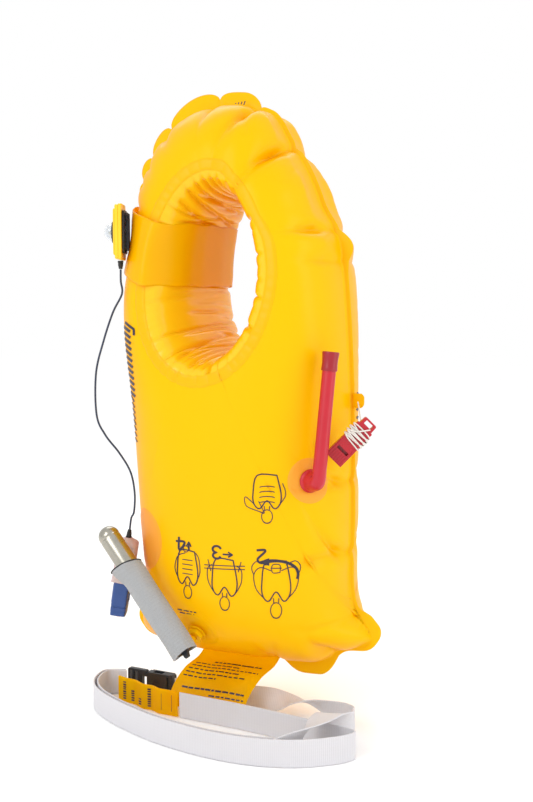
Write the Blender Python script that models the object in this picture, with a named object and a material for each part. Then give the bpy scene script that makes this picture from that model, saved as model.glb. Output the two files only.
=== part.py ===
"""Inflated single-chamber life jacket with its inflator, oral tube, light, whistle and waist belt.

Metres, +Z up. The jacket faces -Y. Its seam lies in one upright plane, and it stands over its
own waist belt, whose lower edges rest on z = 0. Coordinates below are measured from the seam
plane and the neck axis, with the belt's lower edges at FLOOR; STAND then centres the whole part
on the origin.
"""
import math

import bmesh
import bpy
from mathutils import Matrix, Vector

# ---- driving dimensions ----
FLOOR = -0.0100             # level that the belt stands on
STAND = Vector((-0.0050, 0.0279, -FLOOR))
GAP = 0.0004                # clearance left between touching pieces
FILM = 0.0012               # coated film, drawn thick enough to be a solid
PANEL_OFF = FILM + GAP / 2  # outer skin of a panel beyond its half of the seam plane
BODY_DEPTH = 0.090          # how far each panel bulges from the seam plane
FULLNESS = 2.2              # exponent of the rounded sections: 2 is an ellipse
BOTTOM = 0.047              # height of the bottom seam
BOTTOM_ROLL = 0.150         # height where the panels start to curl in to the bottom seam
CORNER_REACH = 0.128        # half width at the bottom corners
COLUMNS = 48                # facets around the perimeter
ROWS = 7                    # facets from the seam to the neck ring
RING_W, RING_H, RING_Z = 0.063, 0.096, 0.427    # neck ring's inner edge: half width, half height, centre
RING_BAND = 0.011           # width of the welded band around the neck ring
NECK_BULGE_X, NECK_BULGE_Z = 0.026, 0.020       # how far the gusset bulges into the opening
BAND_Z, BAND_HIGH, BAND_TILT = 0.4655, 0.060, 0.29   # light band: height at the outside, width, slope
SQUEEZE = 0.013             # how far the light band pinches the lobe
WEB_WIDE, WEB_THICK = 0.0254, 0.0016            # belt webbing
FLAP_WIDE, FLAP_THICK = 0.0855, 0.0010          # label flap under the bottom seam
CABLE_R, CORD_R = 0.0010, 0.0008                # light lead and whistle cord
VIEW = math.radians(25.0)   # turn of the side-mounted pieces about Z
SIDE = Vector((math.cos(VIEW), math.sin(VIEW), 0.0))
FACE = Vector((math.sin(VIEW), -math.cos(VIEW), 0.0))
UP = Vector((0.0, 0.0, 1.0))
SQUARE = (Vector((1.0, 0.0, 0.0)), Vector((0.0, 1.0, 0.0)), UP)

# half width and height along the seam, from the bottom centre to the top centre
HALF_OUTLINE = [(0.0, BOTTOM), (0.062, 0.048), (0.112, 0.052), (CORNER_REACH, 0.064), (0.115, 0.092),
                (0.1075, 0.125), (0.111, 0.200), (0.114, 0.310), (0.113, 0.400), (0.108, 0.465),
                (0.095, 0.515), (0.071, 0.558), (0.038, 0.584), (0.0, 0.592)]


# ---- curves and sections ----
def catmull(points, steps, closed=False):
    """Smooth curve through the given points, steps per stretch."""
    pts = [Vector(p) for p in points]
    n = len(pts)
    result = []
    for i in range(n if closed else n - 1):
        if closed:
            a, b, c, d = pts[i - 1], pts[i], pts[(i + 1) % n], pts[(i + 2) % n]
        else:
            a, b, c, d = pts[max(i - 1, 0)], pts[i], pts[i + 1], pts[min(i + 2, n - 1)]
        for k in range(steps):
            t = k / steps
            result.append(0.5 * (2 * b + (c - a) * t + (2 * a - 5 * b + 4 * c - d) * t * t
                                 + (3 * b - a - 3 * c + d) * t ** 3))
    if not closed:
        result.append(pts[-1])
    return result


def even(points, count, closed=False):
    """The same curve with its points at equal distances."""
    pts = points + [points[0]] if closed else points
    reach = [0.0]
    for p, q in zip(pts, pts[1:]):
        reach.append(reach[-1] + (q - p).length)
    total = reach[-1]
    result = []
    k = 0
    for i in range(count):
        want = total * i / (count if closed else count - 1)
        while k < len(pts) - 2 and reach[k + 1] < want:
            k += 1
        share = (want - reach[k]) / max(reach[k + 1] - reach[k], 1e-9)
        result.append(pts[k].lerp(pts[k + 1], min(share, 1.0)))
    return result


def spaced(points, step):
    """A smooth open curve with a point about every step."""
    fine = catmull(points, 12)
    length = sum((q - p).length for p, q in zip(fine, fine[1:]))
    return even(fine, max(3, round(length / step) + 1))


def twisted(points, rolls, step):
    """A smooth open curve with a point about every step, and the roll at each of them."""
    fine = catmull(points, 12)
    turns = [v.x for v in catmull([Vector((roll, 0.0, 0.0)) for roll in rolls], 12)]
    reach = [0.0]
    for p, q in zip(fine, fine[1:]):
        reach.append(reach[-1] + (q - p).length)
    path = even(fine, max(3, round(reach[-1] / step) + 1))
    result = []
    for i in range(len(path)):
        want = reach[-1] * i / (len(path) - 1)
        k = max(j for j in range(len(fine) - 1) if reach[j] <= want)
        share = (want - reach[k]) / max(reach[k + 1] - reach[k], 1e-9)
        result.append(turns[k] + (turns[k + 1] - turns[k]) * min(share, 1.0))
    return path, result


def smoothstep(t):
    t = min(max(t, 0.0), 1.0)
    return t * t * (3.0 - 2.0 * t)


def rounded(t):
    """Height of a rounded section: 1 at its middle, 0 at its edge."""
    t = min(abs(t), 1.0)
    return (1.0 - t ** FULLNESS) ** (1.0 / FULLNESS)


def lean(z):
    """Sideways place of the jacket's middle line, which hangs a little askew."""
    return 0.012 - 0.040 * (z - 0.050)


def pinch(z):
    """How far the light band draws in the lobe that it is tied around."""
    return SQUEEZE * math.exp(-((z - BAND_Z) / 0.035) ** 2)


SIDE_LINE = [p for p in catmull([(w, 0.0, z) for w, z in HALF_OUTLINE], 8) if p.z >= 0.064]


def half_width(z):
    """Half width of the seam outline at a height."""
    for p, q in zip(SIDE_LINE, SIDE_LINE[1:]):
        if p.z <= z <= q.z:
            return p.x + (q.x - p.x) * (z - p.z) / max(q.z - p.z, 1e-9)
    return CORNER_REACH if z < 0.1 else 0.001


def seam_outline():
    """The perimeter weld line, from the bottom centre round by +X."""
    right = [Vector((w, 0.0, z)) for w, z in HALF_OUTLINE]
    left = [Vector((-p.x, 0.0, p.z)) for p in reversed(right[1:-1])]
    line = even(catmull(right + left, 10, closed=True), COLUMNS, closed=True)
    for p in line:
        if p.x < -0.02:
            p.x += pinch(p.z)
        p.x += lean(p.z)
    return line


def body_depth(x, z):
    """Bulge of the lower body away from the seam plane."""
    off = abs(x - lean(z))
    side = rounded(off / half_width(z))
    hem = BOTTOM + 0.017 * min(off / CORNER_REACH, 1.0) ** 6
    roll = rounded((BOTTOM_ROLL - z) / (BOTTOM_ROLL - hem)) if z < BOTTOM_ROLL else 1.0
    return BODY_DEPTH * side * roll


def ring_depth(z):
    """Distance of the neck ring from the seam plane."""
    return 0.0795 + 0.075 * (RING_Z - z)


def ring_point(turn, grow=0.0):
    """Neck ring's inner edge at a turn counted from its lowest point, in the seam plane."""
    x = (RING_W + grow) * math.sin(turn) * (1.0 + 0.08 * math.cos(turn))
    z = RING_Z - (RING_H + grow) * math.cos(turn)
    return Vector((x + 0.08 * min(0.0, z - RING_Z), 0.0, z))


def panel_point(edge, hole, share):
    """Front panel between the seam (share 1) and the neck ring (share 0)."""
    p = hole.lerp(edge, share)
    ring = ring_depth(hole.z)
    lobe = ring * rounded(share)
    body = body_depth(p.x, p.z)
    upper = smoothstep((p.z - 0.26) / 0.12)
    depth = lobe * upper + body * (1.0 - upper)
    near = (1.0 - share) ** 6
    depth = depth * (1.0 - near) + ring * near
    return Vector((p.x, -max(depth, 0.0), p.z))


def flange_width(p):
    """Width of the weld margin outside the seam."""
    if p.z > 0.44:
        side = smoothstep((p.z - 0.44) / 0.04)
        tied = 1.0 - 0.93 * math.exp(-((p.z - BAND_Z) / 0.05) ** 4) if p.x < 0 else 1.0
        return (0.005 + 0.008 * side) * tied
    if p.z > 0.11:
        return 0.005
    hanging = 0.008 * math.exp(-((p.x - 0.085) / 0.025) ** 2)
    return 0.011 + hanging


def body_surface(turn, z, lift=0.0):
    """Point on the lower body's front, by the turn of its section from the front centre."""
    def bare(a, h):
        power = 2.0 / FULLNESS
        x = lean(h) + half_width(h) * math.copysign(abs(math.sin(a)) ** power, a)
        return Vector((x, -body_depth(x, h) - PANEL_OFF, h))
    here = bare(turn, z)
    step = 0.004
    across = bare(turn + step, z) - bare(turn - step, z)
    along = bare(turn, z + step) - bare(turn, z - step)
    normal = across.cross(along).normalized()
    return here + normal * lift, normal


# ---- building helpers ----
def clear_scene():
    for obj in list(bpy.data.objects):
        bpy.data.objects.remove(obj, do_unlink=True)


def material(name, colour, roughness, metallic=0.0):
    mat = bpy.data.materials.get(name) or bpy.data.materials.new(name)
    mat.use_nodes = True
    shader = mat.node_tree.nodes["Principled BSDF"]
    shader.inputs["Base Color"].default_value = (*colour, 1.0)
    shader.inputs["Roughness"].default_value = roughness
    shader.inputs["Metallic"].default_value = metallic
    return mat


def add_object(name, verts, faces, mat, origin=(0.0, 0.0, 0.0)):
    """New object from a mesh given in seam-plane coordinates."""
    pivot = Vector(origin)
    mesh = bpy.data.meshes.new(name)
    mesh.from_pydata([Vector(v) - pivot for v in verts], [], faces)
    bm = bmesh.new()
    bm.from_mesh(mesh)
    bmesh.ops.recalc_face_normals(bm, faces=bm.faces)
    bm.to_mesh(mesh)
    bm.free()
    mesh.materials.append(mat)
    mesh.shade_smooth()
    mesh.set_sharp_from_angle(angle=math.radians(40.0))
    obj = bpy.data.objects.new(name, mesh)
    obj.location = pivot + STAND
    bpy.context.scene.collection.objects.link(obj)
    return obj


def bevel(obj, width, segments=2):
    mod = obj.modifiers.new("edges", "BEVEL")
    mod.width = width
    mod.segments = segments
    mod.limit_method = "ANGLE"
    mod.angle_limit = math.radians(40.0)


def cut(obj, cutter):
    """Boolean difference with a hidden cutter."""
    cutter.hide_render = True
    cutter.display_type = "WIRE"
    mod = obj.modifiers.new("cut_" + cutter.name, "BOOLEAN")
    mod.operation = "DIFFERENCE"
    mod.solver = "EXACT"
    mod.object = cutter


def ring_faces(rows, columns, start=0, wrap=True, flip=False):
    faces = []
    for r in range(rows - 1):
        for c in range(columns if wrap else columns - 1):
            a = start + r * columns + c
            b = start + r * columns + (c + 1) % columns
            face = (a, b, b + columns, a + columns)
            faces.append(face[::-1] if flip else face)
    return faces


def grid_normals(grid, wrap):
    rows, columns = len(grid), len(grid[0])
    result = []
    for r in range(rows):
        line = []
        for c in range(columns):
            after = grid[r][(c + 1) % columns] if wrap else grid[r][min(c + 1, columns - 1)]
            before = grid[r][c - 1] if wrap else grid[r][max(c - 1, 0)]
            across = after - before
            along = grid[min(r + 1, rows - 1)][c] - grid[max(r - 1, 0)][c]
            line.append(across.cross(along).normalized())
        result.append(line)
    return result


def shell(name, grid, thickness, mat, wrap=True, side=1.0, lift=0.0):
    """Thin closed shell: the grid lifted along its normals, and a second skin behind it."""
    rows, columns = len(grid), len(grid[0])
    normals = grid_normals(grid, wrap)
    top = [p + n * side * lift for line, ns in zip(grid, normals) for p, n in zip(line, ns)]
    back = [p + n * side * (lift - thickness) for line, ns in zip(grid, normals) for p, n in zip(line, ns)]
    size = rows * columns
    faces = ring_faces(rows, columns, 0, wrap) + ring_faces(rows, columns, size, wrap, flip=True)
    last = (rows - 1) * columns
    for c in range(columns if wrap else columns - 1):
        d = (c + 1) % columns
        faces.append((c, c + size, d + size, d))
        faces.append((last + c, last + d, last + d + size, last + c + size))
    if not wrap:
        for r in range(rows - 1):
            for c in (0, columns - 1):
                a, b = r * columns + c, (r + 1) * columns + c
                faces.append((a, b, b + size, a + size))
    return add_object(name, top + back, faces, mat)


def frames(path):
    """Tangent and a carried-along normal at each point of a path."""
    result = []
    normal = None
    for i, p in enumerate(path):
        tangent = (path[min(i + 1, len(path) - 1)] - path[max(i - 1, 0)]).normalized()
        if normal is None:
            seed = Vector((1.0, 0.0, 0.0)) if abs(tangent.x) < 0.8 else Vector((0.0, 1.0, 0.0))
            normal = tangent.cross(seed).normalized()
        normal = (normal - tangent * normal.dot(tangent)).normalized()
        result.append((tangent, normal, tangent.cross(normal)))
    return result


def tube(name, path, radius, mat, bore=0.0, sides=12, origin=(0.0, 0.0, 0.0)):
    """Round bar along a path, or a pipe when it has a bore."""
    axes = frames(path)
    verts = []
    for r in ([radius, bore] if bore else [radius]):
        for p, (_, n, b) in zip(path, axes):
            for k in range(sides):
                a = math.tau * k / sides
                verts.append(p + (n * math.cos(a) + b * math.sin(a)) * r)
    rows = len(path)
    size = rows * sides
    faces = ring_faces(rows, sides)
    last = size - sides
    if bore:
        faces += ring_faces(rows, sides, size, flip=True)
        for k in range(sides):
            j = (k + 1) % sides
            faces.append((k, k + size, j + size, j))
            faces.append((last + k, last + j, last + j + size, last + k + size))
    else:
        faces.append(tuple(range(sides))[::-1])
        faces.append(tuple(range(last, size)))
    return add_object(name, verts, faces, mat, origin)


def axis_matrix(origin, direction):
    """Frame whose Z runs along the direction."""
    return Matrix.Translation(origin) @ Vector(direction).to_track_quat("Z", "Y").to_matrix().to_4x4()


def turned(name, profile, frame, mat, sides=16, closed=False, origin=(0.0, 0.0, 0.0)):
    """Solid of revolution from (radius, height) points; closed when the profile is a ring's section."""
    rows = [[frame @ Vector((r * math.cos(math.tau * k / sides), r * math.sin(math.tau * k / sides), h))
             for k in range(sides)] for r, h in profile]
    verts = [v for row in rows for v in row]
    faces = ring_faces(len(rows), sides)
    last = (len(rows) - 1) * sides
    if closed:
        faces += [(last + k, last + (k + 1) % sides, (k + 1) % sides, k) for k in range(sides)]
    else:
        faces.append(tuple(range(sides))[::-1])
        faces.append(tuple(range(last, last + sides)))
    return add_object(name, verts, faces, mat, origin)


def block(name, centre, axes, size, mat, origin=(0.0, 0.0, 0.0)):
    """Box with its edges along three given directions."""
    verts = []
    for i in (-0.5, 0.5):
        for j in (-0.5, 0.5):
            for k in (-0.5, 0.5):
                verts.append(centre + axes[0] * size[0] * i + axes[1] * size[1] * j + axes[2] * size[2] * k)
    faces = [(0, 1, 3, 2), (4, 6, 7, 5), (0, 4, 5, 1), (2, 3, 7, 6), (0, 2, 6, 4), (1, 5, 7, 3)]
    return add_object(name, verts, faces, mat, origin)


def split_alike(faces):
    """Halves of a twisted strip's faces, four to a row, its two wide sides cut along the same diagonal."""
    halves = []
    for k, (a, b, c, d) in enumerate(faces):
        halves += [(a, b, d), (b, c, d)] if k % 4 == 2 else [(a, b, c), (a, c, d)]
    return halves


def ribbon(name, path, rolls, wide, thick, mat):
    """Flat strip along a path; roll 0 stands on edge, and 90 degrees lies flat."""
    verts = []
    for i, p in enumerate(path):
        tangent = (path[min(i + 1, len(path) - 1)] - path[max(i - 1, 0)]).normalized()
        level = tangent.cross(UP).normalized()
        upright = level.cross(tangent).normalized()
        roll = rolls[i]
        across = upright * math.cos(roll) + level * math.sin(roll)
        through = tangent.cross(across).normalized()
        for a, b in ((-1, -1), (1, -1), (1, 1), (-1, 1)):
            verts.append(p + across * a * wide / 2 + through * b * thick / 2)
    rows = len(path)
    faces = ring_faces(rows, 4)
    if max(rolls) > min(rolls):
        faces = split_alike(faces)
    faces += [(0, 1, 2, 3), (rows * 4 - 4, rows * 4 - 1, rows * 4 - 2, rows * 4 - 3)]
    return add_object(name, verts, faces, mat)


def webbing(name, route, mat, lift=WEB_WIDE / 2, wide=WEB_WIDE, thick=WEB_THICK):
    """Belt webbing that stands on edge; each route point is (x, y) or (x, y, height over the floor, roll)."""
    full = [tuple(p) + ((lift, 0.0) if len(p) == 2 else ()) for p in route]
    step = 0.008 if any(p[3] for p in full) else 0.011
    path, rolls = twisted([Vector((x, y, FLOOR + height)) for x, y, height, _ in full], [p[3] for p in full], step)
    for p, roll in zip(path, rolls):
        p.z = max(p.z, FLOOR + abs(wide * math.cos(roll)) / 2 + abs(thick * math.sin(roll)) / 2)
    return ribbon(name, path, rolls, wide, thick, mat)


def surface_disc(name, turn, z, radius, thickness, mat, rings=3, sides=20):
    """Round patch that follows the front panel."""
    step = 0.004
    here = body_surface(turn, z)[0]
    per_turn = (body_surface(turn + step, z)[0] - here).length / step
    per_rise = (body_surface(turn, z + step)[0] - here).length / step
    verts = []
    for lift in (GAP + thickness, GAP):
        verts.append(body_surface(turn, z, lift)[0])
        for r in range(1, rings + 1):
            for k in range(sides):
                a = math.tau * k / sides
                d = radius * r / rings
                verts.append(body_surface(turn + d * math.cos(a) / per_turn,
                                          z + d * math.sin(a) / per_rise, lift)[0])
    size = 1 + rings * sides
    faces = []
    for start, flip in ((0, False), (size, True)):
        fan = [(start, start + 1 + k, start + 1 + (k + 1) % sides) for k in range(sides)]
        faces += [f[::-1] for f in fan] if flip else fan
        faces += ring_faces(rings, sides, start + 1, flip=flip)
    rim = 1 + (rings - 1) * sides
    for k in range(sides):
        j = (k + 1) % sides
        faces.append((rim + k, rim + j, rim + j + size, rim + k + size))
    return add_object(name, verts, faces, mat)


# ---- finishes ----
YELLOW = material("yellow_film", (0.95, 0.60, 0.02), 0.35)
WELD = material("weld_band", (0.90, 0.50, 0.03), 0.4)
PATCH = material("patch_film", (0.93, 0.45, 0.06), 0.4)
RED = material("red_rubber", (0.60, 0.02, 0.03), 0.4)
WHISTLE = material("red_plastic", (0.50, 0.01, 0.02), 0.3)
STEEL = material("steel", (0.50, 0.48, 0.45), 0.25, 1.0)
BRASS = material("brass", (0.70, 0.50, 0.20), 0.3, 1.0)
CLOTH = material("grey_cloth", (0.55, 0.55, 0.55), 0.9)
BLACK = material("black_plastic", (0.01, 0.01, 0.015), 0.4)
WHITE = material("white_webbing", (0.85, 0.85, 0.85), 0.9)
LABEL = material("yellow_label", (0.95, 0.65, 0.03), 0.6)
BLUE = material("blue_plastic", (0.02, 0.08, 0.25), 0.35)
CABLE = material("navy_cable", (0.02, 0.03, 0.06), 0.4)
CLEAR = material("clear_lens", (0.85, 0.88, 0.90), 0.05)
BULB = material("lamp_glass", (0.90, 0.90, 0.85), 0.1)
RUBBER = material("black_rubber", (0.02, 0.02, 0.02), 0.7)
ELASTIC = material("black_elastic", (0.02, 0.02, 0.02), 0.8)
CELL = material("battery_metal", (0.60, 0.60, 0.60), 0.3, 1.0)
POUCH = material("white_pouch", (0.88, 0.82, 0.80), 0.6)
CORD = material("white_cord", (0.85, 0.84, 0.80), 0.9)
HOLDER = material("yellow_plastic", (0.93, 0.58, 0.04), 0.4)


# ---- inflated chamber ----
def perimeter():
    """Seam points with the neck ring point that each one faces."""
    line = seam_outline()
    pairs = []
    for p in line:
        turn = math.atan2(p.x, RING_Z - p.z)
        pairs.append((p, ring_point(turn), turn))
    return pairs


def panel_grid(pairs, mirror):
    rows = []
    margin = []
    for i, (edge, _, _) in enumerate(pairs):
        after, before = pairs[(i + 1) % len(pairs)][0], pairs[i - 1][0]
        tangent = (after - before).normalized()
        outward = Vector((tangent.z, 0.0, -tangent.x))
        margin.append(edge + outward * flange_width(edge))
    rows.append(margin)
    rows.append([edge for edge, _, _ in pairs])
    for k in range(1, ROWS + 1):
        share = 1.0 - (k / ROWS) ** 1.9
        rows.append([panel_point(edge, hole, share) for edge, hole, _ in pairs])
    return [[Vector((p.x, (p.y - PANEL_OFF) * mirror, p.z)) for p in line] for line in rows]


def make_panels(pairs):
    shell("front_panel", panel_grid(pairs, 1.0), FILM, YELLOW)
    shell("rear_panel", panel_grid(pairs, -1.0), FILM, YELLOW, side=-1.0)


def make_neck_bands(pairs):
    for name, mirror in (("front_neck_band", 1.0), ("rear_neck_band", -1.0)):
        grid = []
        for k in range(3):
            line = []
            for edge, hole, _ in pairs:
                share = RING_BAND * (1.0 - k / 2) / (edge - hole).length
                p = panel_point(edge, hole, share)
                line.append(Vector((p.x, (p.y - PANEL_OFF) * mirror, p.z)))
            grid.append(line)
        shell(name, grid, FILM * 0.7, WELD, side=mirror, lift=GAP + FILM * 0.7)


def make_gusset(pairs):
    """Wall of the neck opening, bulging into it between the front and the rear ring."""
    grid = []
    count = 6
    for k in range(count + 1):
        v = -1.0 + 2.0 * k / count
        swell = rounded(v)
        line = []
        for _, hole, turn in pairs:
            depth = ring_depth(hole.z) - GAP
            x = hole.x * (1.0 - swell * NECK_BULGE_X / RING_W)
            z = RING_Z + (hole.z - RING_Z) * (1.0 - swell * NECK_BULGE_Z / RING_H)
            line.append(Vector((x, v * depth, z)))
        grid.append(line)
    shell("neck_gusset", grid, FILM, YELLOW)


def band_loop(z):
    """Section of the banded lobe, out over the front panel, in along the gusset and back."""
    edge = Vector((lean(z) - half_width(z) + pinch(z), 0.0, z))
    inner_z = z - BAND_TILT * 0.07
    turn = -math.acos((RING_Z - inner_z) / RING_H)
    hole = ring_point(turn)
    front = []
    for share in (1.0, 0.95, 0.85, 0.68, 0.45, 0.2, 0.0):
        p = panel_point(edge, hole, share)
        front.append(Vector((p.x, p.y - PANEL_OFF, p.z)))
    wall = []
    for v in (-0.7, -0.35, 0.0, 0.35, 0.7):
        x = hole.x * (1.0 - rounded(v) * NECK_BULGE_X / RING_W)
        wall.append(Vector((x, v * ring_depth(hole.z), inner_z)))
    rear = [Vector((p.x, -p.y, p.z)) for p in reversed(front[1:])]
    return front + wall + rear


def make_light_band():
    """Film band tied around the lobe that carries the light."""
    rows = 3
    grid = []
    for row in range(rows):
        loop = band_loop(BAND_Z - BAND_HIGH / 2 + BAND_HIGH * row / (rows - 1))
        line = []
        for k, p in enumerate(loop):
            tangent = (loop[(k + 1) % len(loop)] - loop[k - 1]).normalized()
            outward = Vector((-tangent.y, tangent.x, 0.0)).normalized()
            over_seam = 0.0030 * math.exp(-(p.y / 0.03) ** 2) if p.x < -0.08 else 0.0
            line.append(p - outward * (0.0040 + over_seam))
        grid.append(line)
    shell("light_band", grid, FILM * 0.7, WELD, side=-1.0)


# ---- oral inflation tube ----
TUBE_TURN, TUBE_Z = math.radians(54.0), 0.2345
TUBE_R, TUBE_BORE = 0.0064, 0.0045


def tube_route():
    """Out of the flange, round the elbow and up."""
    base, normal = body_surface(TUBE_TURN, TUBE_Z, 0.0)
    tangent = UP.cross(normal).normalized()
    out = base + normal * 0.0080
    elbow = base + normal * 0.0165 + UP * 0.002
    rise = base + normal * 0.019 + UP * 0.016 + tangent * 0.001
    top = base + normal * 0.018 + UP * 0.114 + tangent * 0.0115
    return base, normal, [out, elbow, rise, rise.lerp(top, 0.5), top]


def make_oral_tube():
    base, normal, route = tube_route()
    surface_disc("oral_tube_patch", TUBE_TURN, TUBE_Z, 0.0215, FILM * 0.7, PATCH)
    seat = axis_matrix(base + normal * (GAP * 3 + FILM), normal)
    turned("oral_tube_flange", [(0.0125, 0.0), (0.0125, 0.0022), (0.0105, 0.0036), (0.0084, 0.0040)],
           seat, RED)
    path = spaced(route, 0.008)
    tube("oral_tube", path, TUBE_R, RED, bore=TUBE_BORE)
    top = path[-1]
    along = (top - path[-2]).normalized()
    collar = axis_matrix(top - along * 0.011, along)
    turned("mouthpiece", [(TUBE_R + GAP, 0.0), (0.0078, 0.0), (0.0078, 0.0160), (0.0072, 0.0175),
                          (0.0048, 0.0175), (0.0048, 0.0145), (TUBE_R + GAP, 0.0145)],
           collar, RED, sides=14, closed=True, origin=top)
    stem = axis_matrix(top, along)
    turned("valve_poppet", [(0.0040, -0.022), (0.0040, -0.0205), (0.0009, -0.0205), (0.0009, -0.0008),
                            (0.0030, -0.0008), (0.0030, 0.0004), (0.0001, 0.0004)][::-1],
           stem, BLACK, sides=10, origin=top)
    turns, per_turn = 4, 8
    coil = [stem @ Vector((0.0032 * math.cos(math.tau * k / per_turn), 0.0032 * math.sin(math.tau * k / per_turn),
                           -0.0195 + 0.0175 * k / (turns * per_turn))) for k in range(turns * per_turn + 1)]
    tube("valve_spring", coil, 0.0004, STEEL, sides=5)


PATCH_TURN, PATCH_Z, PATCH_R = math.radians(-47.0), 0.167, 0.031   # reinforcing patch behind the battery


# ---- gas cylinder and inflator ----
CYL_LOW = Vector((-0.0149, -0.1062, 0.0775))
CYL_AXIS = Vector((-0.6493, 0.0614, 0.7570)).normalized()
CYL_R = 0.0105
LEVER_AXIS = (0.0040, -0.0045)   # place of the lever's axis in the cylinder's frame
STEM_TURN, STEM_Z = math.radians(-10.0), 0.083      # where the gas passage enters the front panel


def make_inflator(frame):
    turned("gas_cylinder", [(0.0048, 0.0150), (0.0064, 0.0150), (0.0064, 0.0240), (0.0085, 0.0290),
                            (CYL_R, 0.0340), (CYL_R, 0.1240), (0.0098, 0.1290), (0.0078, 0.1330),
                            (0.0044, 0.1355), (0.0010, 0.1362), (0.0010, 0.1345), (0.0060, 0.1325),
                            (0.0086, 0.1230), (0.0086, 0.0360), (0.0048, 0.0300)],
           frame, STEEL, closed=True, origin=CYL_LOW)
    turned("cylinder_seal", [(0.0060, 0.0141), (0.0060, 0.0147)], frame, BRASS, sides=12, origin=CYL_LOW)
    turned("cylinder_sleeve", [(0.0117, 0.0115), (0.0130, 0.0115), (0.0130, 0.0900), (0.0150, 0.0955),
                               (0.0138, 0.0955), (0.0117, 0.0900)],
           frame, CLOTH, sides=20, closed=True)
    turned("sleeve_elastic", [(0.0136, 0.0959), (0.0152, 0.0959), (0.0152, 0.0975), (0.0136, 0.0975)],
           frame, ELASTIC, sides=20, closed=True)
    body = turned("inflator_body", [(0.0105, -0.0080), (0.0108, -0.0070), (0.0108, 0.0130), (0.0100, 0.0138)],
                  frame, BLACK, sides=20)
    pin_bore = turned("bore_cut", [(0.0019, -0.0100), (0.0019, 0.0200)], frame, BLACK, sides=12)
    lever_slot = block("slot_cut", frame @ Vector((0.0, 0.0, -0.0047)),
                       [frame.to_3x3() @ axis for axis in SQUARE],
                       (0.0045, 0.0300, 0.0150), BLACK)
    pivot_bore = tube("pivot_cut", across_inflator(frame, 0.0200), 0.0015, BLACK, sides=10)
    for cutter in (pin_bore, lever_slot, pivot_bore):
        cut(body, cutter)
    turned("firing_pin", [(0.0014, 0.0016), (0.0014, 0.0080), (0.0004, 0.0105)], frame, STEEL, sides=10,
           origin=CYL_LOW)
    tube("lever_pin", across_inflator(frame, 0.0095), 0.0010, STEEL, sides=8)


def across_inflator(frame, reach):
    """Line along the lever's axis, as far as reach to each side."""
    y, z = LEVER_AXIS
    return [frame @ Vector((-reach, y, z)), frame @ Vector((reach, y, z))]


def make_lever(frame):
    """Cam lever in the inflator's slot, with a hole for its pin."""
    pivot = frame @ Vector((0.0, *LEVER_AXIS))
    outline = [(0.0078, -0.0030), (0.0062, -0.0016), (0.0010, -0.0004), (-0.0018, -0.0010), (-0.0022, -0.0060),
               (-0.0026, -0.0120), (-0.0016, -0.0142), (0.0022, -0.0142), (0.0030, -0.0120), (0.0050, -0.0085),
               (0.0078, -0.0060)]
    half = 0.0016
    verts = [frame @ Vector((s * half, y, z)) for s in (-1, 1) for y, z in outline]
    n = len(outline)
    faces = [tuple(range(n)), tuple(range(n, 2 * n))[::-1]]
    faces += [(k, (k + 1) % n, (k + 1) % n + n, k + n) for k in range(n)]
    lever = add_object("inflation_lever", verts, faces, BLACK, origin=pivot)
    cut(lever, tube("lever_cut", across_inflator(frame, 0.0040), 0.0013, BLACK, sides=8))


def make_stem():
    """Gas passage from the inflator to the front panel, with its patch, gasket and nut."""
    surface_disc("inflator_patch", STEM_TURN, STEM_Z, 0.021, FILM * 0.7, PATCH)
    base, normal = body_surface(STEM_TURN, STEM_Z, GAP * 2 + FILM)
    target = CYL_LOW + CYL_AXIS * 0.0025
    towards = (target - base).normalized()
    seat = axis_matrix(base + normal * 0.0008, normal)
    turned("stem_gasket", [(0.0040, 0.0), (0.0100, 0.0), (0.0100, 0.0014), (0.0040, 0.0014)],
           seat, RUBBER, closed=True)
    turned("stem_nut", [(0.0036, 0.0018), (0.0085, 0.0018), (0.0085, 0.0062), (0.0036, 0.0062)],
           seat, BRASS, sides=6, closed=True)
    reach = (target - base).length - 0.0108 - 3 * GAP
    start = base + normal * 0.0088
    tube("inflator_stem", [start, start.lerp(base + towards * reach, 0.5), base + towards * reach], 0.0034, BRASS,
         sides=12)


# ---- rescue light, cable and battery ----
LIGHT_OUT = -SIDE
LIGHT_CENTRE = SIDE * -0.1195 + FACE * 0.024 + UP * 0.4675
BATTERY_TILT = math.radians(8.0)
BATTERY_CENTRE = SIDE * -0.1195 + FACE * 0.018 + UP * 0.127


def make_light():
    axes = (LIGHT_OUT, FACE, UP)
    holder = block("light_holder", LIGHT_CENTRE, axes, (0.0082, 0.040, 0.054), HOLDER)
    bevel(holder, 0.0018)
    clip = block("light_clip", LIGHT_CENTRE - LIGHT_OUT * (0.0041 + GAP + 0.0009), axes,
                 (0.0018, 0.030, 0.042), BLACK)
    bevel(clip, 0.0006, 1)
    face = axis_matrix(LIGHT_CENTRE + LIGHT_OUT * (0.0041 + GAP), LIGHT_OUT)
    turned("lens_bezel", [(0.0086, 0.0), (0.0104, 0.0), (0.0104, 0.0022), (0.0086, 0.0022)],
           face, BLACK, closed=True)
    turned("lens_dome", [(0.0082, 0.0), (0.0082, 0.0040), (0.0070, 0.0074), (0.0042, 0.0094), (0.0004, 0.0100),
                         (0.0004, 0.0088), (0.0034, 0.0083), (0.0058, 0.0066), (0.0070, 0.0038), (0.0070, 0.0)],
           face, CLEAR, closed=True)
    turned("lamp_bulb", [(0.0030, 0.0), (0.0030, 0.0010), (0.0022, 0.0018), (0.0022, 0.0048), (0.0010, 0.0062)],
           face, BULB, sides=12)
    low = LIGHT_CENTRE - UP * (0.027 + GAP) - LIGHT_OUT * 0.001
    tube("light_gland", [low, low - UP * 0.004, low - UP * 0.008], 0.0026, BLACK, sides=10)
    return low - UP * 0.008


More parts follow.
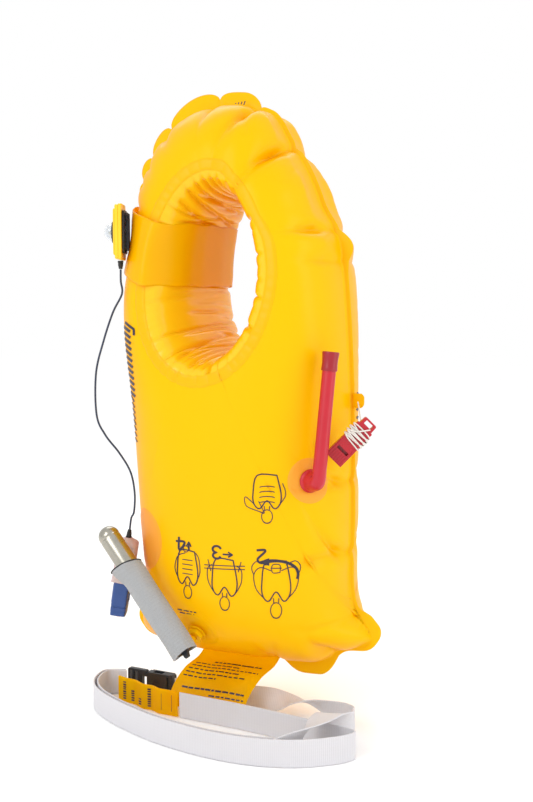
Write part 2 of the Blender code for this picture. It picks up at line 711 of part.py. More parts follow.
def battery_axes():
    down = (-UP * math.cos(BATTERY_TILT) - SIDE * math.sin(BATTERY_TILT)).normalized()
    across = FACE.cross(down).normalized()
    return across, FACE, down


def make_battery():
    across, front, down = battery_axes()
    axes = (across, front, down)
    case = block("battery_case", BATTERY_CENTRE + down * 0.010, axes, (0.016, 0.028, 0.056), BLUE)
    bevel(case, 0.0015)
    well = block("well_cut", BATTERY_CENTRE + down * 0.006, axes, (0.0130, 0.0250, 0.056), BLUE)
    drain = tube("drain_cut", [BATTERY_CENTRE + down * 0.030, BATTERY_CENTRE + down * 0.045], 0.0032, BLUE)
    cut(case, well)
    cut(case, drain)
    block("battery_cell", BATTERY_CENTRE + down * 0.006, axes, (0.0122, 0.0242, 0.046), CELL)
    pouch = block("battery_pouch", BATTERY_CENTRE - down * 0.017, axes, (0.0208, 0.0328, 0.044), POUCH)
    pocket = block("pocket_cut", BATTERY_CENTRE - down * 0.003, axes, (0.0172, 0.0292, 0.064), POUCH)
    bevel(pouch, 0.0020)
    cut(pouch, pocket)
    foot = axis_matrix(BATTERY_CENTRE + down * 0.0384, down)
    turned("battery_plug", [(0.0012, -0.0036), (0.0026, -0.0030), (0.0026, 0.0), (0.0046, 0.0), (0.0046, 0.0024)],
           foot, WHISTLE, sides=12, origin=foot.to_translation())
    top = BATTERY_CENTRE - down * (0.039 + GAP)
    tube("battery_gland", [top, top - down * 0.004, top - down * 0.008], 0.0026, BLACK, sides=10)
    return top - down * 0.008


CABLE_BENDS = [(-0.1175, 0.4080), (-0.1265, 0.3900), (-0.1360, 0.3620), (-0.1438, 0.3300), (-0.1436, 0.2890),
               (-0.1350, 0.2690), (-0.1220, 0.2520), (-0.1110, 0.2330), (-0.1070, 0.2120), (-0.1078, 0.1930)]


def make_cable(top, bottom):
    """Light lead, hanging in a bow beside the jacket; bends are (sideways, height)."""
    out = top - SIDE * top.dot(SIDE) - UP * top.z
    route = [top - UP * GAP, top - UP * 0.012]
    route += [SIDE * s + out + UP * z for s, z in CABLE_BENDS]
    up = -battery_axes()[2]
    route += [bottom + up * 0.012, bottom + up * GAP]
    line = bpy.data.curves.new("light_cable", "CURVE")
    line.dimensions = "3D"
    line.bevel_depth = CABLE_R
    line.bevel_resolution = 2
    line.use_fill_caps = True
    line.resolution_u = 1
    line.render_resolution_u = 0
    points = spaced(route, 0.0055)
    spline = line.splines.new("POLY")
    spline.points.add(len(points) - 1)
    for target, p in zip(spline.points, points):
        target.co = (*p, 1.0)
    line.materials.append(CABLE)
    obj = bpy.data.objects.new("light_cable", line)
    obj.location = STAND
    bpy.context.scene.collection.objects.link(obj)


# ---- whistle ----
WHISTLE_CENTRE = SIDE * 0.1027 + FACE * 0.095 + UP * 0.2725
TETHER_EYE = Vector((0.1245, -0.0048, 0.3050))


def whistle_axes():
    along = (SIDE + UP).normalized()
    return along, FACE.cross(along).normalized(), FACE


def make_whistle():
    along, across, front = whistle_axes()
    c = WHISTLE_CENTRE
    outline = [(-0.0250, -0.0096), (-0.0020, -0.0092), (0.0170, -0.0088), (0.0170, -0.0072), (0.0250, -0.0068),
               (0.0250, 0.0068), (0.0170, 0.0072), (0.0170, 0.0088), (-0.0020, 0.0092), (-0.0250, 0.0096)]
    verts = [c + along * u + across * v + front * w for w in (-0.0042, 0.0042) for u, v in outline]
    n = len(outline)
    faces = [tuple(range(n)), tuple(range(n, 2 * n))[::-1]]
    faces += [(k, (k + 1) % n, (k + 1) % n + n, k + n) for k in range(n)]
    axes = (along, across, front)
    body = add_object("whistle_body", verts, faces, WHISTLE, origin=TETHER_EYE)
    slot = block("eye_cut", c + along * 0.0212, axes, (0.0040, 0.0086, 0.0300), WHISTLE)
    mouth = block("mouth_cut", c - along * 0.0190, axes, (0.0180, 0.0150, 0.0036), WHISTLE)
    window = block("window_cut", c - along * 0.0125 + front * 0.0040, axes, (0.0030, 0.0130, 0.0080), WHISTLE)
    for cutter in (slot, mouth, window):
        cut(body, cutter)
    hank = block("lanyard_hank", c + along * 0.0060, axes, (0.0170, 0.0240, 0.0140), CORD, origin=TETHER_EYE)
    hollow = block("hank_cut", c + along * 0.0060, axes, (0.0300, 0.0192, 0.0092), CORD)
    bevel(hank, 0.0030)
    cut(hank, hollow)
    return c + along * 0.0152 - front * 0.0055


def make_whistle_tether(end):
    """Cord from the hank to the eyelet tab on the seam."""
    route = [end, end.lerp(TETHER_EYE, 0.35) - UP * 0.004, end.lerp(TETHER_EYE, 0.75), TETHER_EYE]
    tube("whistle_tether", spaced(route, 0.004), CORD_R, CORD, sides=6, origin=TETHER_EYE)
    block("whistle_tab", Vector((0.1250, -0.0028, 0.3060)),
          SQUARE, (0.012, 0.0012, 0.014), YELLOW)


# ---- labels and hanging film ----
def make_label_flap():
    line = [Vector((0.0035, -0.0026, 0.0405)), Vector((0.0036, -0.0140, 0.0380)), Vector((0.0040, -0.0280, 0.0345)),
            Vector((0.0040, -0.0370, 0.0310)), Vector((0.0040, -0.0480, 0.0220)), Vector((0.0040, -0.0570, 0.0100)),
            Vector((0.0040, -0.0605, -0.0010))]
    path = spaced(line, 0.006)
    ribbon("label_flap", path, [math.radians(90.0)] * len(path), FLAP_WIDE, FLAP_THICK, LABEL)


# ---- waist belt ----
BUCKLE_TURN = math.radians(-4.0)
BUCKLE_ALONG = Vector((math.cos(BUCKLE_TURN), math.sin(BUCKLE_TURN), 0.0))
BUCKLE_SIDE = Vector((-math.sin(BUCKLE_TURN), math.cos(BUCKLE_TURN), 0.0))
BUCKLE = Vector((-0.0947, -0.0263, FLOOR + 0.0145))


def buckle_point(u, v, w):
    return BUCKLE + BUCKLE_ALONG * u + BUCKLE_SIDE * v + UP * w


def make_buckle():
    axes = (BUCKLE_ALONG, BUCKLE_SIDE, UP)
    female = block("buckle_female", buckle_point(0.0140, 0, 0), axes, (0.030, 0.0110, 0.029), BLACK,
                   origin=BUCKLE)
    bevel(female, 0.0016)
    cuts = [("cavity_cut", buckle_point(0.0080, 0, 0), (0.024, 0.0066, 0.0230)),
            ("windows_cut", buckle_point(0.0110, 0, 0), (0.0100, 0.0066, 0.040)),
            ("bar_cut", buckle_point(0.0250, 0, 0), (0.0030, 0.0200, 0.0240))]
    for name, centre, size in cuts:
        cut(female, block(name, centre, axes, size, BLACK))
    male = block("buckle_male", buckle_point(-0.0150, 0, 0), axes, (0.0240, 0.0060, 0.029), BLACK)
    bevel(male, 0.0012)
    slots = [("slot_a", buckle_point(-0.0235, 0, 0), (0.0030, 0.02, 0.0246)),
             ("slot_b", buckle_point(-0.0165, 0, 0), (0.0030, 0.02, 0.0246)),
             ("root_hole", buckle_point(-0.0060, 0, 0), (0.0062, 0.02, 0.0160))]
    for name, centre, size in slots:
        cut(male, block(name, centre, axes, size, BLACK))
    for name, s in (("prong_upper", 1.0), ("prong_lower", -1.0)):
        outline = [(-0.0024, 0.0050), (0.0150, 0.0062), (0.0176, 0.0072), (0.0150, 0.0104), (0.0080, 0.0106),
                   (0.0070, 0.0090), (-0.0024, 0.0076)]
        prong_half = 0.0026
        verts = [buckle_point(u, v, s * w) for v in (-prong_half, prong_half) for u, w in outline]
        n = len(outline)
        faces = [tuple(range(n)), tuple(range(n, 2 * n))[::-1]]
        faces += [(k, (k + 1) % n, (k + 1) % n + n, k + n) for k in range(n)]
        add_object(name, verts, faces, BLACK, origin=buckle_point(-0.0024, 0, s * 0.0063))


LEFT_LOOP = [(-0.1452, -0.0330), (-0.1425, -0.0560), (-0.1310, -0.0760), (-0.1120, -0.0935)]
FRONT_RUN = [(-0.0780, -0.1130), (-0.0359, -0.1306), (0.0010, -0.1405), (0.0380, -0.1458), (0.0700, -0.1455),
             (0.0975, -0.1400), (0.1233, -0.1285), (0.1450, -0.1110)]


def inset(points, distance):
    """The same route moved to its inner side."""
    pts = [Vector((p[0], p[1], 0.0)) for p in points]
    result = []
    for i, p in enumerate(pts):
        tangent = (pts[min(i + 1, len(pts) - 1)] - pts[max(i - 1, 0)]).normalized()
        moved = p + Vector((-tangent.y, tangent.x, 0.0)) * distance
        result.append((moved.x, moved.y))
    return result


def make_belt():
    start = buckle_point(-0.0302, 0.0, 0.0)
    outer = [(start.x - 0.0018, start.y + 0.0016)] + LEFT_LOOP + FRONT_RUN
    outer += [(0.1549, -0.0975), (0.1553, -0.0890), (0.1466, -0.0850), (0.1245, -0.0825), (0.0774, -0.0750),
              (0.0282, -0.0690), (-0.0390, -0.0640)]
    webbing("belt_free_end", outer, WHITE)
    inner = [(start.x + 0.0014, start.y - 0.0024)] + inset(LEFT_LOOP + FRONT_RUN[:6], 0.0040)
    webbing("belt_front_layer", inner, WHITE)
    end = inner[-1]
    flat, half_turn = math.radians(80.0), math.radians(180.0)
    low = WEB_WIDE / 2
    cross = [(end[0] + 0.0030, end[1] + 0.0010, low, 0.0), (0.1120, -0.1190, 0.0200, math.radians(25.0)),
             (0.1230, -0.0980, 0.0320, flat), (0.1290, -0.0780, 0.0330, flat),
             (0.1330, -0.0580, 0.0200, math.radians(30.0)), (0.1345, -0.0420, low, 0.0),
             (0.1320, -0.0300, low, 0.0), (0.1230, -0.0240, low, 0.0)]
    webbing("belt_crossing", cross, WHITE)
    rear = [(0.1200, -0.0232, low, half_turn), (0.1050, -0.0200, 0.0140, math.radians(158.0)),
            (0.0850, -0.0185, 0.0175, math.radians(125.0)), (0.0640, -0.0210, 0.0190, math.radians(88.0)),
            (0.0470, -0.0255, 0.0180, math.radians(48.0)), (0.0250, -0.0270, 0.0166, math.radians(12.0)),
            (-0.0030, -0.0274, 0.0166, 0.0), (-0.0360, -0.0277, 0.0147, 0.0)]
    webbing("belt_rear_run", rear, WHITE)
    bar = buckle_point(0.0305, 0.0, 0.0)
    lead = [(-0.0375, -0.0277, 0.0143, 0.0), (-0.0500, -0.0280, 0.0143, 0.0), (bar.x, bar.y, 0.0143, 0.0)]
    webbing("belt_buckle_lead", lead, WHITE, wide=0.0230)
    tab = [(-0.0420, -0.0638), (-0.0640, -0.0610), (-0.0860, -0.0555), (-0.1080, -0.0480)]
    webbing("belt_pull_tab", tab, LABEL, thick=0.0030)
    keeper = Vector((-0.0030, -0.0274, FLOOR + 0.0166))
    loop = block("belt_loop", keeper, SQUARE, (0.0240, 0.0072, 0.0300), YELLOW)
    cut(loop, block("loop_cut", keeper, SQUARE, (0.0500, 0.0050, 0.0270), YELLOW))


def main():
    clear_scene()
    pairs = perimeter()
    make_panels(pairs)
    make_neck_bands(pairs)
    make_gusset(pairs)
    make_light_band()
    make_oral_tube()
    inflator = axis_matrix(CYL_LOW, CYL_AXIS)
    make_inflator(inflator)
    make_lever(inflator)
    make_stem()
    surface_disc("side_patch", PATCH_TURN, PATCH_Z, PATCH_R, FILM * 0.7, PATCH)
    cable_top = make_light()
    cable_bottom = make_battery()
    make_cable(cable_top, cable_bottom)
    make_whistle_tether(make_whistle())
    make_label_flap()
    make_buckle()
    make_belt()


main()
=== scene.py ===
"""Looks of the inflated life jacket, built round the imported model."""
import math
import random

import bmesh
import bpy
import numpy as np
from mathutils import Matrix, Vector
from mathutils.bvhtree import BVHTree

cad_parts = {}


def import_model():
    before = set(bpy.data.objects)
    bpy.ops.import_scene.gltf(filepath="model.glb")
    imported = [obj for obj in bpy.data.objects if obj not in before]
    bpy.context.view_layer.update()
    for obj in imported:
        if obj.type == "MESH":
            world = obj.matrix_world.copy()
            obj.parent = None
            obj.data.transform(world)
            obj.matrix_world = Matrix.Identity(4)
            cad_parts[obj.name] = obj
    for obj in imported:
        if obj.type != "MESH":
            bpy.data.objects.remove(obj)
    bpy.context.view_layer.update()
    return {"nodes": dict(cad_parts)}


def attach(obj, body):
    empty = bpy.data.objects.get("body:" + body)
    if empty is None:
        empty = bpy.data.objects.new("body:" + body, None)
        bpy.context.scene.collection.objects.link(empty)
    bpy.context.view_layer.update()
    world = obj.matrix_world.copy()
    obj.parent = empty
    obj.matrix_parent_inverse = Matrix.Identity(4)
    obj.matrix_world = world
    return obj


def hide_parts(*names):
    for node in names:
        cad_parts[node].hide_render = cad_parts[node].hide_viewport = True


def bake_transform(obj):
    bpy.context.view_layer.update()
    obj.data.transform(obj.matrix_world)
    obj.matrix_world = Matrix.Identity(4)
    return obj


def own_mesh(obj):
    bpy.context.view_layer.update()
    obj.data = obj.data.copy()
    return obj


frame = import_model()
NODES = frame["nodes"]

# ---- frame of the jacket: seam plane coordinates plus STAND give the row frame ----
FLOOR = -0.0100
STAND = np.array((-0.0050, 0.0279, -FLOOR))
GAP = 0.0004
FILM = 0.0012
PANEL_OFF = FILM + GAP / 2
BODY_DEPTH = 0.090
FULLNESS = 2.2
BOTTOM = 0.047
BOTTOM_ROLL = 0.150
CORNER_REACH = 0.128
RING_W, RING_H, RING_Z = 0.063, 0.096, 0.427
RING_BAND = 0.011
NECK_BULGE_X, NECK_BULGE_Z = 0.026, 0.020
BAND_Z, BAND_HIGH, BAND_TILT = 0.4655, 0.060, 0.29
SQUEEZE = 0.013
WEB_WIDE = 0.0254
SHEET = 0.0005                               # thickness of the laid film pieces
VIEW = math.radians(25.0)
SIDE = Vector((math.cos(VIEW), math.sin(VIEW), 0.0))
FACE = Vector((math.sin(VIEW), -math.cos(VIEW), 0.0))
UP = Vector((0.0, 0.0, 1.0))
HALF_OUTLINE = [(0.0, BOTTOM), (0.062, 0.048), (0.112, 0.052), (CORNER_REACH, 0.064), (0.115, 0.092),
                (0.1075, 0.125), (0.111, 0.200), (0.114, 0.310), (0.113, 0.400), (0.108, 0.465),
                (0.095, 0.515), (0.071, 0.558), (0.038, 0.584), (0.0, 0.592)]


# ---- camera, light and floor ----
LENS, SENSOR = 53.9, 36.0
CAMERA_AWAY, CAMERA_ASIDE, CAMERA_HIGH, CAMERA_DOWN = 1.2, 0.0235, 0.406, math.radians(5.0)
FLOOR_REACH, FLOOR_TOP = 6.0, -0.0005


def aim(obj, place, target):
    obj.location = place
    obj.rotation_euler = (Vector(target) - Vector(place)).to_track_quat("-Z", "Y").to_euler()


def make_camera():
    data = bpy.data.cameras.new("camera")
    data.lens = LENS
    data.sensor_width = SENSOR
    data.clip_start = 0.05
    cam = bpy.data.objects.new("camera", data)
    bpy.context.scene.collection.objects.link(cam)
    place = Vector(STAND) + FACE * CAMERA_AWAY + SIDE * CAMERA_ASIDE + UP * CAMERA_HIGH
    aim(cam, place, place - FACE * math.cos(CAMERA_DOWN) - UP * math.sin(CAMERA_DOWN))
    bpy.context.scene.camera = cam


def area_light(name, place, target, size, power):
    data = bpy.data.lights.new(name, "AREA")
    data.shape = "RECTANGLE"
    data.size, data.size_y = size
    data.energy = power
    obj = bpy.data.objects.new(name, data)
    bpy.context.scene.collection.objects.link(obj)
    aim(obj, place, target)


def make_stage():
    scene = bpy.context.scene
    scene.view_settings.view_transform = "Standard"
    scene.view_settings.look = "None"
    studio = bpy.data.worlds.new("studio")
    scene.world = studio
    studio.use_nodes = True
    background = studio.node_tree.nodes["Background"]
    background.inputs["Color"].default_value = shade(WHITE)
    background.inputs["Strength"].default_value = 1.0
    middle = Vector((0.0, 0.0, 0.30))
    area_light("key_left", middle - SIDE * 0.9 + FACE * 1.1 + UP * 0.7, middle, (0.7, 1.0), 7.0)
    area_light("fill_right", middle + SIDE * 1.3 + FACE * 0.6 + UP * 0.4, middle, (0.5, 1.3), 4.5)
    area_light("back_top", middle - FACE * 1.0 + UP * 1.2, middle, (1.4, 0.7), 6.0)
    mesh = bpy.data.meshes.new("floor")
    corners = [(-1, -1), (1, -1), (1, 1), (-1, 1)]
    mesh.from_pydata([(x * FLOOR_REACH, y * FLOOR_REACH, FLOOR_TOP) for x, y in corners], [], [(0, 1, 2, 3)])
    floor = bpy.data.objects.new("floor", mesh)
    scene.collection.objects.link(floor)
    graph = Graph("floor_white")
    graph.surface(graph.shader(shade(WHITE), 0.9, **{"Specular IOR Level": 0.0}))
    mesh.materials.append(graph.mat)


# ---- materials ----
WHITE = (1.0, 1.0, 1.0)


def shade(colour, factor=1.0):
    """A colour as red, green, blue and alpha, made darker by a factor."""
    return tuple(c * factor for c in colour) + (1.0,)


class Graph:
    """A node material under construction."""

    def __init__(self, name):
        self.mat = bpy.data.materials.new(name)
        self.mat.use_nodes = True
        self.tree = self.mat.node_tree
        self.tree.nodes.clear()
        self.out = self.tree.nodes.new("ShaderNodeOutputMaterial")

    def node(self, kind, inputs=None, **props):
        made = self.tree.nodes.new("ShaderNode" + kind)
        for key, value in props.items():
            setattr(made, key, value)
        for key, value in (inputs or {}).items():
            if isinstance(value, bpy.types.NodeSocket):
                self.tree.links.new(value, made.inputs[key])
            else:
                made.inputs[key].default_value = value
        return made

    def shader(self, colour, rough, metal=0.0, normal=None, **more):
        inputs = {"Base Color": colour, "Roughness": rough, "Metallic": metal}
        if normal is not None:
            inputs["Normal"] = normal
        inputs.update(more)
        return self.node("BsdfPrincipled", inputs).outputs[0]

    def surface(self, socket):
        self.tree.links.new(socket, self.out.inputs["Surface"])
        return self.mat

    def coord(self, which="Object"):
        return self.node("TexCoord").outputs[which]

    def noise(self, scale, detail, rough=0.5):
        return self.node("TexNoise", {"Scale": scale, "Detail": detail, "Roughness": rough,
                                      "Vector": self.coord()}).outputs["Fac"]

    def wave(self, scale, vector, distortion, direction):
        return self.node("TexWave", {"Scale": scale, "Vector": vector, "Distortion": distortion,
                         "Detail": 1.0},
                         bands_direction=direction).outputs["Fac"]

    def mixed(self, factor, a, b):
        made = self.node("Mix", {"Factor": factor}, data_type="RGBA")
        for socket, value in ((made.inputs[6], a), (made.inputs[7], b)):
            if isinstance(value, bpy.types.NodeSocket):
                self.tree.links.new(value, socket)
            else:
                socket.default_value = value
        return made.outputs[2]

    def math(self, operation, a, b):
        return self.node("Math", {0: a, 1: b}, operation=operation).outputs[0]

    def ramp(self, value, low, high, out_low=0.0, out_high=1.0):
        return self.node("MapRange", {"Value": value, "From Min": low, "From Max": high,
                                      "To Min": out_low, "To Max": out_high}).outputs[0]

    def bump(self, height, strength, distance, below=None):
        inputs = {"Height": height, "Strength": strength, "Distance": distance}
        if below is not None:
            inputs["Normal"] = below
        return self.node("Bump", inputs).outputs[0]


def film_material(name, colour, glow, through, rough, shine=0.25):
    """Coated film: satin, faintly uneven, with painted orange shade towards its grazing edges, letting a warm glow
    through.
    """
    g = Graph(name)
    cloud = g.noise(9.0, 4.0)
    tone = g.mixed(g.ramp(cloud, 0.3, 0.7), shade(colour), shade(colour, 0.965))
    edge = g.node("LayerWeight", {"Blend": 0.5}).outputs["Facing"]
    # painted shade: the colour turns deeper orange where the surface turns away from the view
    edge_shade = shade((colour[0], colour[1] * 0.78, colour[2]))
    tone = g.mixed(g.ramp(edge, 0.35, 1.0, 0.0, 0.8), tone, edge_shade)
    fine = g.noise(900.0, 2.0)
    ripple = g.noise(55.0, 3.0)
    normal = g.bump(fine, 0.10, 0.0004)
    normal = g.bump(ripple, 0.16, 0.0012, normal)
    gloss = g.shader(tone, g.ramp(cloud, 0.2, 0.8, rough - 0.03, rough + 0.05), normal=normal,
                     **{"IOR": 1.48, "Specular IOR Level": shine})
    inner = g.node("BsdfTranslucent", {"Color": shade(glow), "Normal": normal}).outputs[0]
    return g.surface(g.node("MixShader", {0: through, 1: gloss, 2: inner}).outputs[0])


def plastic_material(name, colour, rough, grain, depth, wear, **more):
    """Moulded plastic or rubber with a fine grain and slightly paler worn places."""
    g = Graph(name)
    fine = g.noise(grain, 3.0)
    patchy = g.noise(38.0, 5.0)
    pale = [min(1.0, c * (1.0 + wear) + wear * 0.03) for c in colour]
    tone = g.mixed(g.ramp(patchy, 0.42, 0.75), shade(colour), shade(pale))
    normal = g.bump(fine, 0.35, depth)
    worn = g.ramp(patchy, 0.3, 0.8, rough - 0.05, rough + 0.10)
    return g.surface(g.shader(tone, worn, normal=normal, **more))


def metal_material(name, colour, rough):
    """Metal with cloudy darker streaks and a fine scratched grain."""
    g = Graph(name)
    streak = g.noise(60.0, 6.0, rough=0.7)
    fine = g.noise(700.0, 2.0)
    tone = g.mixed(g.ramp(streak, 0.35, 0.75), shade(colour), shade(colour, 0.72))
    normal = g.bump(fine, 0.25, 0.0001)
    return g.surface(g.shader(tone, g.ramp(streak, 0.3, 0.8, rough, rough + 0.14), 1.0, normal))


ROW_PITCH = 0.0016                           # of the woven rows along a strap


def webbing_material(name, colour, pitch=0.0009, depth=0.94):
    """Woven webbing: fine ribs across the strap, slight soiling. UV is in metres."""
    g = Graph(name)
    uv = g.coord("UV")
    ribs = g.wave(math.pi / 20.0 / pitch, uv, 0.4, "X")
    rows = g.wave(math.pi / 20.0 / ROW_PITCH, uv, 0.6, "Y")
    weave = g.math("ADD", g.math("MULTIPLY", ribs, 0.85), g.math("MULTIPLY", rows, 0.15))
    fuzz = g.noise(1600.0, 3.0)
    soil = g.noise(24.0, 5.0)
    tone = g.mixed(g.ramp(weave, 0.15, 0.65), shade(colour, depth), shade(colour))
    tone = g.mixed(g.ramp(soil, 0.52, 0.85, 0.0, 0.35), tone, shade(colour, 0.88))
    normal = g.bump(weave, 0.40, 0.0003)
    normal = g.bump(fuzz, 0.30, 0.0002, normal)
    cloth = g.shader(tone, 0.82, normal=normal, **{"Sheen Weight": 0.25, "Sheen Roughness": 0.5})
    inner = g.node("BsdfTranslucent", {"Color": shade(colour), "Normal": normal}).outputs[0]
    return g.surface(g.node("MixShader", {0: 0.15, 1: cloth, 2: inner}).outputs[0])


# ---- mesh helpers ----
def arr(points):
    return np.array([tuple(p) for p in points], float)


def world(points):
    """Points of the jacket's own frame in the row frame."""
    return np.asarray(points, float) + STAND


def in_row(point):
    return Vector(world([point])[0])


def running_length(points):
    """Distance along a polyline to each of its points."""
    return np.concatenate([[0.0], np.cumsum(np.linalg.norm(np.diff(points, axis=0), axis=1))])


def squared(value, power):
    """A cosine or sine drawn out so that a circle turns towards a square."""
    return math.copysign(abs(value) ** power, value)


def finish_piece(obj, body, mat):
    """Gives a piece its material and, unless it blends two bodies, the body that it rides on."""
    obj.data.materials.append(mat)
    if body:
        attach(obj, body)
    return obj


def mesh_piece(name, verts, faces, body, mat, uvs=None, angle=40.0):
    """New piece from row-frame points; uvs is one (u, v) per vertex, in metres."""
    mesh = bpy.data.meshes.new(name)
    mesh.from_pydata([tuple(v) for v in verts], [], faces)
    if uvs is not None:
        layer = mesh.uv_layers.new(name="UVMap")
        index = np.empty(len(mesh.loops), int)
        mesh.loops.foreach_get("vertex_index", index)
        layer.data.foreach_set("uv", np.asarray(uvs, float)[index].ravel())
    bm = bmesh.new()
    bm.from_mesh(mesh)
    bmesh.ops.recalc_face_normals(bm, faces=bm.faces)
    bm.to_mesh(mesh)
    bm.free()
    mesh.shade_smooth()
    if angle:
        mesh.set_sharp_from_angle(angle=math.radians(angle))
    obj = bpy.data.objects.new(name, mesh)
    bpy.context.scene.collection.objects.link(obj)
    return finish_piece(obj, body, mat)


def grid_faces(rows, columns, start=0, wrap=True, flip=False):
    """Faces of a rows x columns grid of vertices, of which the first has the index start."""
    faces = []
    for r in range(rows - 1):
        for c in range(columns if wrap else columns - 1):
            a = start + r * columns + c
            b = start + r * columns + (c + 1) % columns
            face = (a, b, b + columns, a + columns)
            faces.append(face[::-1] if flip else face)
    return faces


def pipe_faces(rows, sides):
    """Faces of an outer and an inner tube grid, joined at both ends."""
    size = rows * sides
    last = size - sides
    faces = grid_faces(rows, sides) + grid_faces(rows, sides, size, flip=True)
    for k in range(sides):
        j = (k + 1) % sides
        faces.append((k, k + size, j + size, j))
        faces.append((last + k, last + j, last + j + size, last + k + size))
    return faces


def loop_faces(last, sides):
    """Faces from a grid's last row, of which the first vertex has that index, back to its first row."""
    return [(last + k, last + (k + 1) % sides, (k + 1) % sides, k) for k in range(sides)]


def grid_normals(grid, wrap=True):
    if wrap:
        across = np.roll(grid, -1, 1) - np.roll(grid, 1, 1)
    else:
        across = np.gradient(grid, axis=1)
    along = np.gradient(grid, axis=0)
    normal = np.cross(across, along)
    return normal / np.maximum(np.linalg.norm(normal, axis=2, keepdims=True), 1e-12)


def grid_piece(name, grid, body, mat, wrap=True, thickness=0.0, side=1.0, uvs=None):
    """Piece from a rows x columns grid in the row frame; a thickness closes it with a second skin."""
    rows, columns = grid.shape[:2]
    verts = grid.reshape(-1, 3)
    faces = grid_faces(rows, columns, 0, wrap)
    if thickness:
        back = (grid - grid_normals(grid, wrap) * side * thickness).reshape(-1, 3)
        size = rows * columns
        last = (rows - 1) * columns
        faces += grid_faces(rows, columns, size, wrap, flip=True)
        for c in range(columns if wrap else columns - 1):
            d = (c + 1) % columns
            faces.append((c, c + size, d + size, d))
            faces.append((last + c, last + d, last + d + size, last + c + size))
        if not wrap:
            for r in range(rows - 1):
                for c in (0, columns - 1):
                    a, b = r * columns + c, (r + 1) * columns + c
                    faces.append((a, b, b + size, a + size))
        verts = np.concatenate([verts, back])
    return mesh_piece(name, verts, faces, body, mat, uvs, 0.0)


def catmull(points, steps, closed=False):
    """Catmull-Rom curve through the points, with that many steps between two of them."""
    pts = [Vector(p) for p in points]
    n = len(pts)
    result = []
    for i in range(n if closed else n - 1):
        if closed:
            a, b, c, d = pts[i - 1], pts[i], pts[(i + 1) % n], pts[(i + 2) % n]
        else:
            a, b, c, d = pts[max(i - 1, 0)], pts[i], pts[i + 1], pts[min(i + 2, n - 1)]
        for k in range(steps):
            t = k / steps
            result.append(0.5 * (2 * b + (c - a) * t + (2 * a - 5 * b + 4 * c - d) * t * t
                                 + (3 * b - a - 3 * c + d) * t ** 3))
    if not closed:
        result.append(pts[-1])
    return result


def even(points, count, closed=False):
    """A polyline resampled at equal distances."""
    pts = arr(points)
    if closed:
        pts = np.concatenate([pts, pts[:1]])
    reach = running_length(pts)
    want = np.linspace(0.0, reach[-1], count + 1)[:-1] if closed else np.linspace(0.0, reach[-1], count)
    return np.stack([np.interp(want, reach, pts[:, k]) for k in range(pts.shape[1])], 1)


def smooth_path(points, step):
    """Curve through the points, resampled at about that step."""
    fine = catmull(points, 16)
    length = sum((q - p).length for p, q in zip(fine, fine[1:]))
    return even(fine, max(3, round(length / step) + 1))


def smoothstep(t):
    t = np.clip(t, 0.0, 1.0)
    return t * t * (3.0 - 2.0 * t)


def rounded(t):
    """Height, 0 to 1, of a full rounded section across its half width."""
    t = np.minimum(np.abs(t), 1.0)
    return (1.0 - t ** FULLNESS) ** (1.0 / FULLNESS)


def sweep(path, sections, closed_path=False):
    """Grid of a section carried along a path; sections is one (sides, 2) array per path point."""
    path = arr(path)
    if closed_path:
        tangents = np.roll(path, -1, 0) - np.roll(path, 1, 0)
    else:
        tangents = np.gradient(path, axis=0)
    tangents /= np.linalg.norm(tangents, axis=1, keepdims=True)
    normal = None
    rows = []
    for p, t, section in zip(path, tangents, sections):
        if normal is None:
            seed = np.array((1.0, 0.0, 0.0)) if abs(t[0]) < 0.8 else np.array((0.0, 1.0, 0.0))
            normal = np.cross(t, seed)
        normal = normal - t * normal.dot(t)
        normal /= np.linalg.norm(normal)
        binormal = np.cross(t, normal)
        rows.append(p + section[:, :1] * normal + section[:, 1:] * binormal)
    return np.array(rows)


def circle(radius, sides):
    turn = np.linspace(0.0, math.tau, sides, endpoint=False)
    return np.stack([np.cos(turn), np.sin(turn)], 1) * radius


def capped_faces(rows, sides):
    """Faces of a tube grid with a flat cap on both ends."""
    size = rows * sides
    return grid_faces(rows, sides) + [tuple(range(sides))[::-1], tuple(range(size - sides, size))]


def tube_piece(name, path, radius, body, mat, sides):
    """Round bar along a path in the row frame."""
    verts = sweep(path, [circle(radius, sides)] * len(path)).reshape(-1, 3)
    return mesh_piece(name, verts, capped_faces(len(path), sides), body, mat)


def axis_matrix(origin, direction):
    """Frame at the origin whose Z points along the direction."""
    return Matrix.Translation(origin) @ Vector(direction).to_track_quat("Z", "Y").to_matrix().to_4x4()


def lathe(name, profile, place, body, mat, sides, closed=False, angle=35.0, shape=None):
    """Solid of revolution round the Z of place; shape(turn, radius, height) may move each point of it."""
    verts = []
    for r, h in profile:
        for k in range(sides):
            a = math.tau * k / sides
            p = shape(a, r, h) if shape else Vector((r * math.cos(a), r * math.sin(a), h))
            verts.append(place @ p)
    rows = len(profile)
    if closed:
        faces = grid_faces(rows, sides) + loop_faces((rows - 1) * sides, sides)
    else:
        faces = capped_faces(rows, sides)
    uvs = [(k / sides, h) for r, h in profile for k in range(sides)]
    return mesh_piece(name, verts, faces, body, mat, uvs, angle)


# ---- the inflated chamber ----
def lean(z):
    """Sideways lean of the whole chamber."""
    return 0.012 - 0.040 * (z - 0.050)


def pinch(z):
    """How far the light's sling squeezes its lobe."""
    return SQUEEZE * np.exp(-((z - BAND_Z) / 0.035) ** 2)


SIDE_LINE = arr([p for p in catmull([(w, 0.0, z) for w, z in HALF_OUTLINE], 8) if p.z >= 0.064])


def half_width(z):
    z = np.asarray(z, float)
    inside = np.interp(z, SIDE_LINE[:, 2], SIDE_LINE[:, 0])
    return np.where(z < 0.064, CORNER_REACH, np.where(z > 0.592, 0.001, inside))


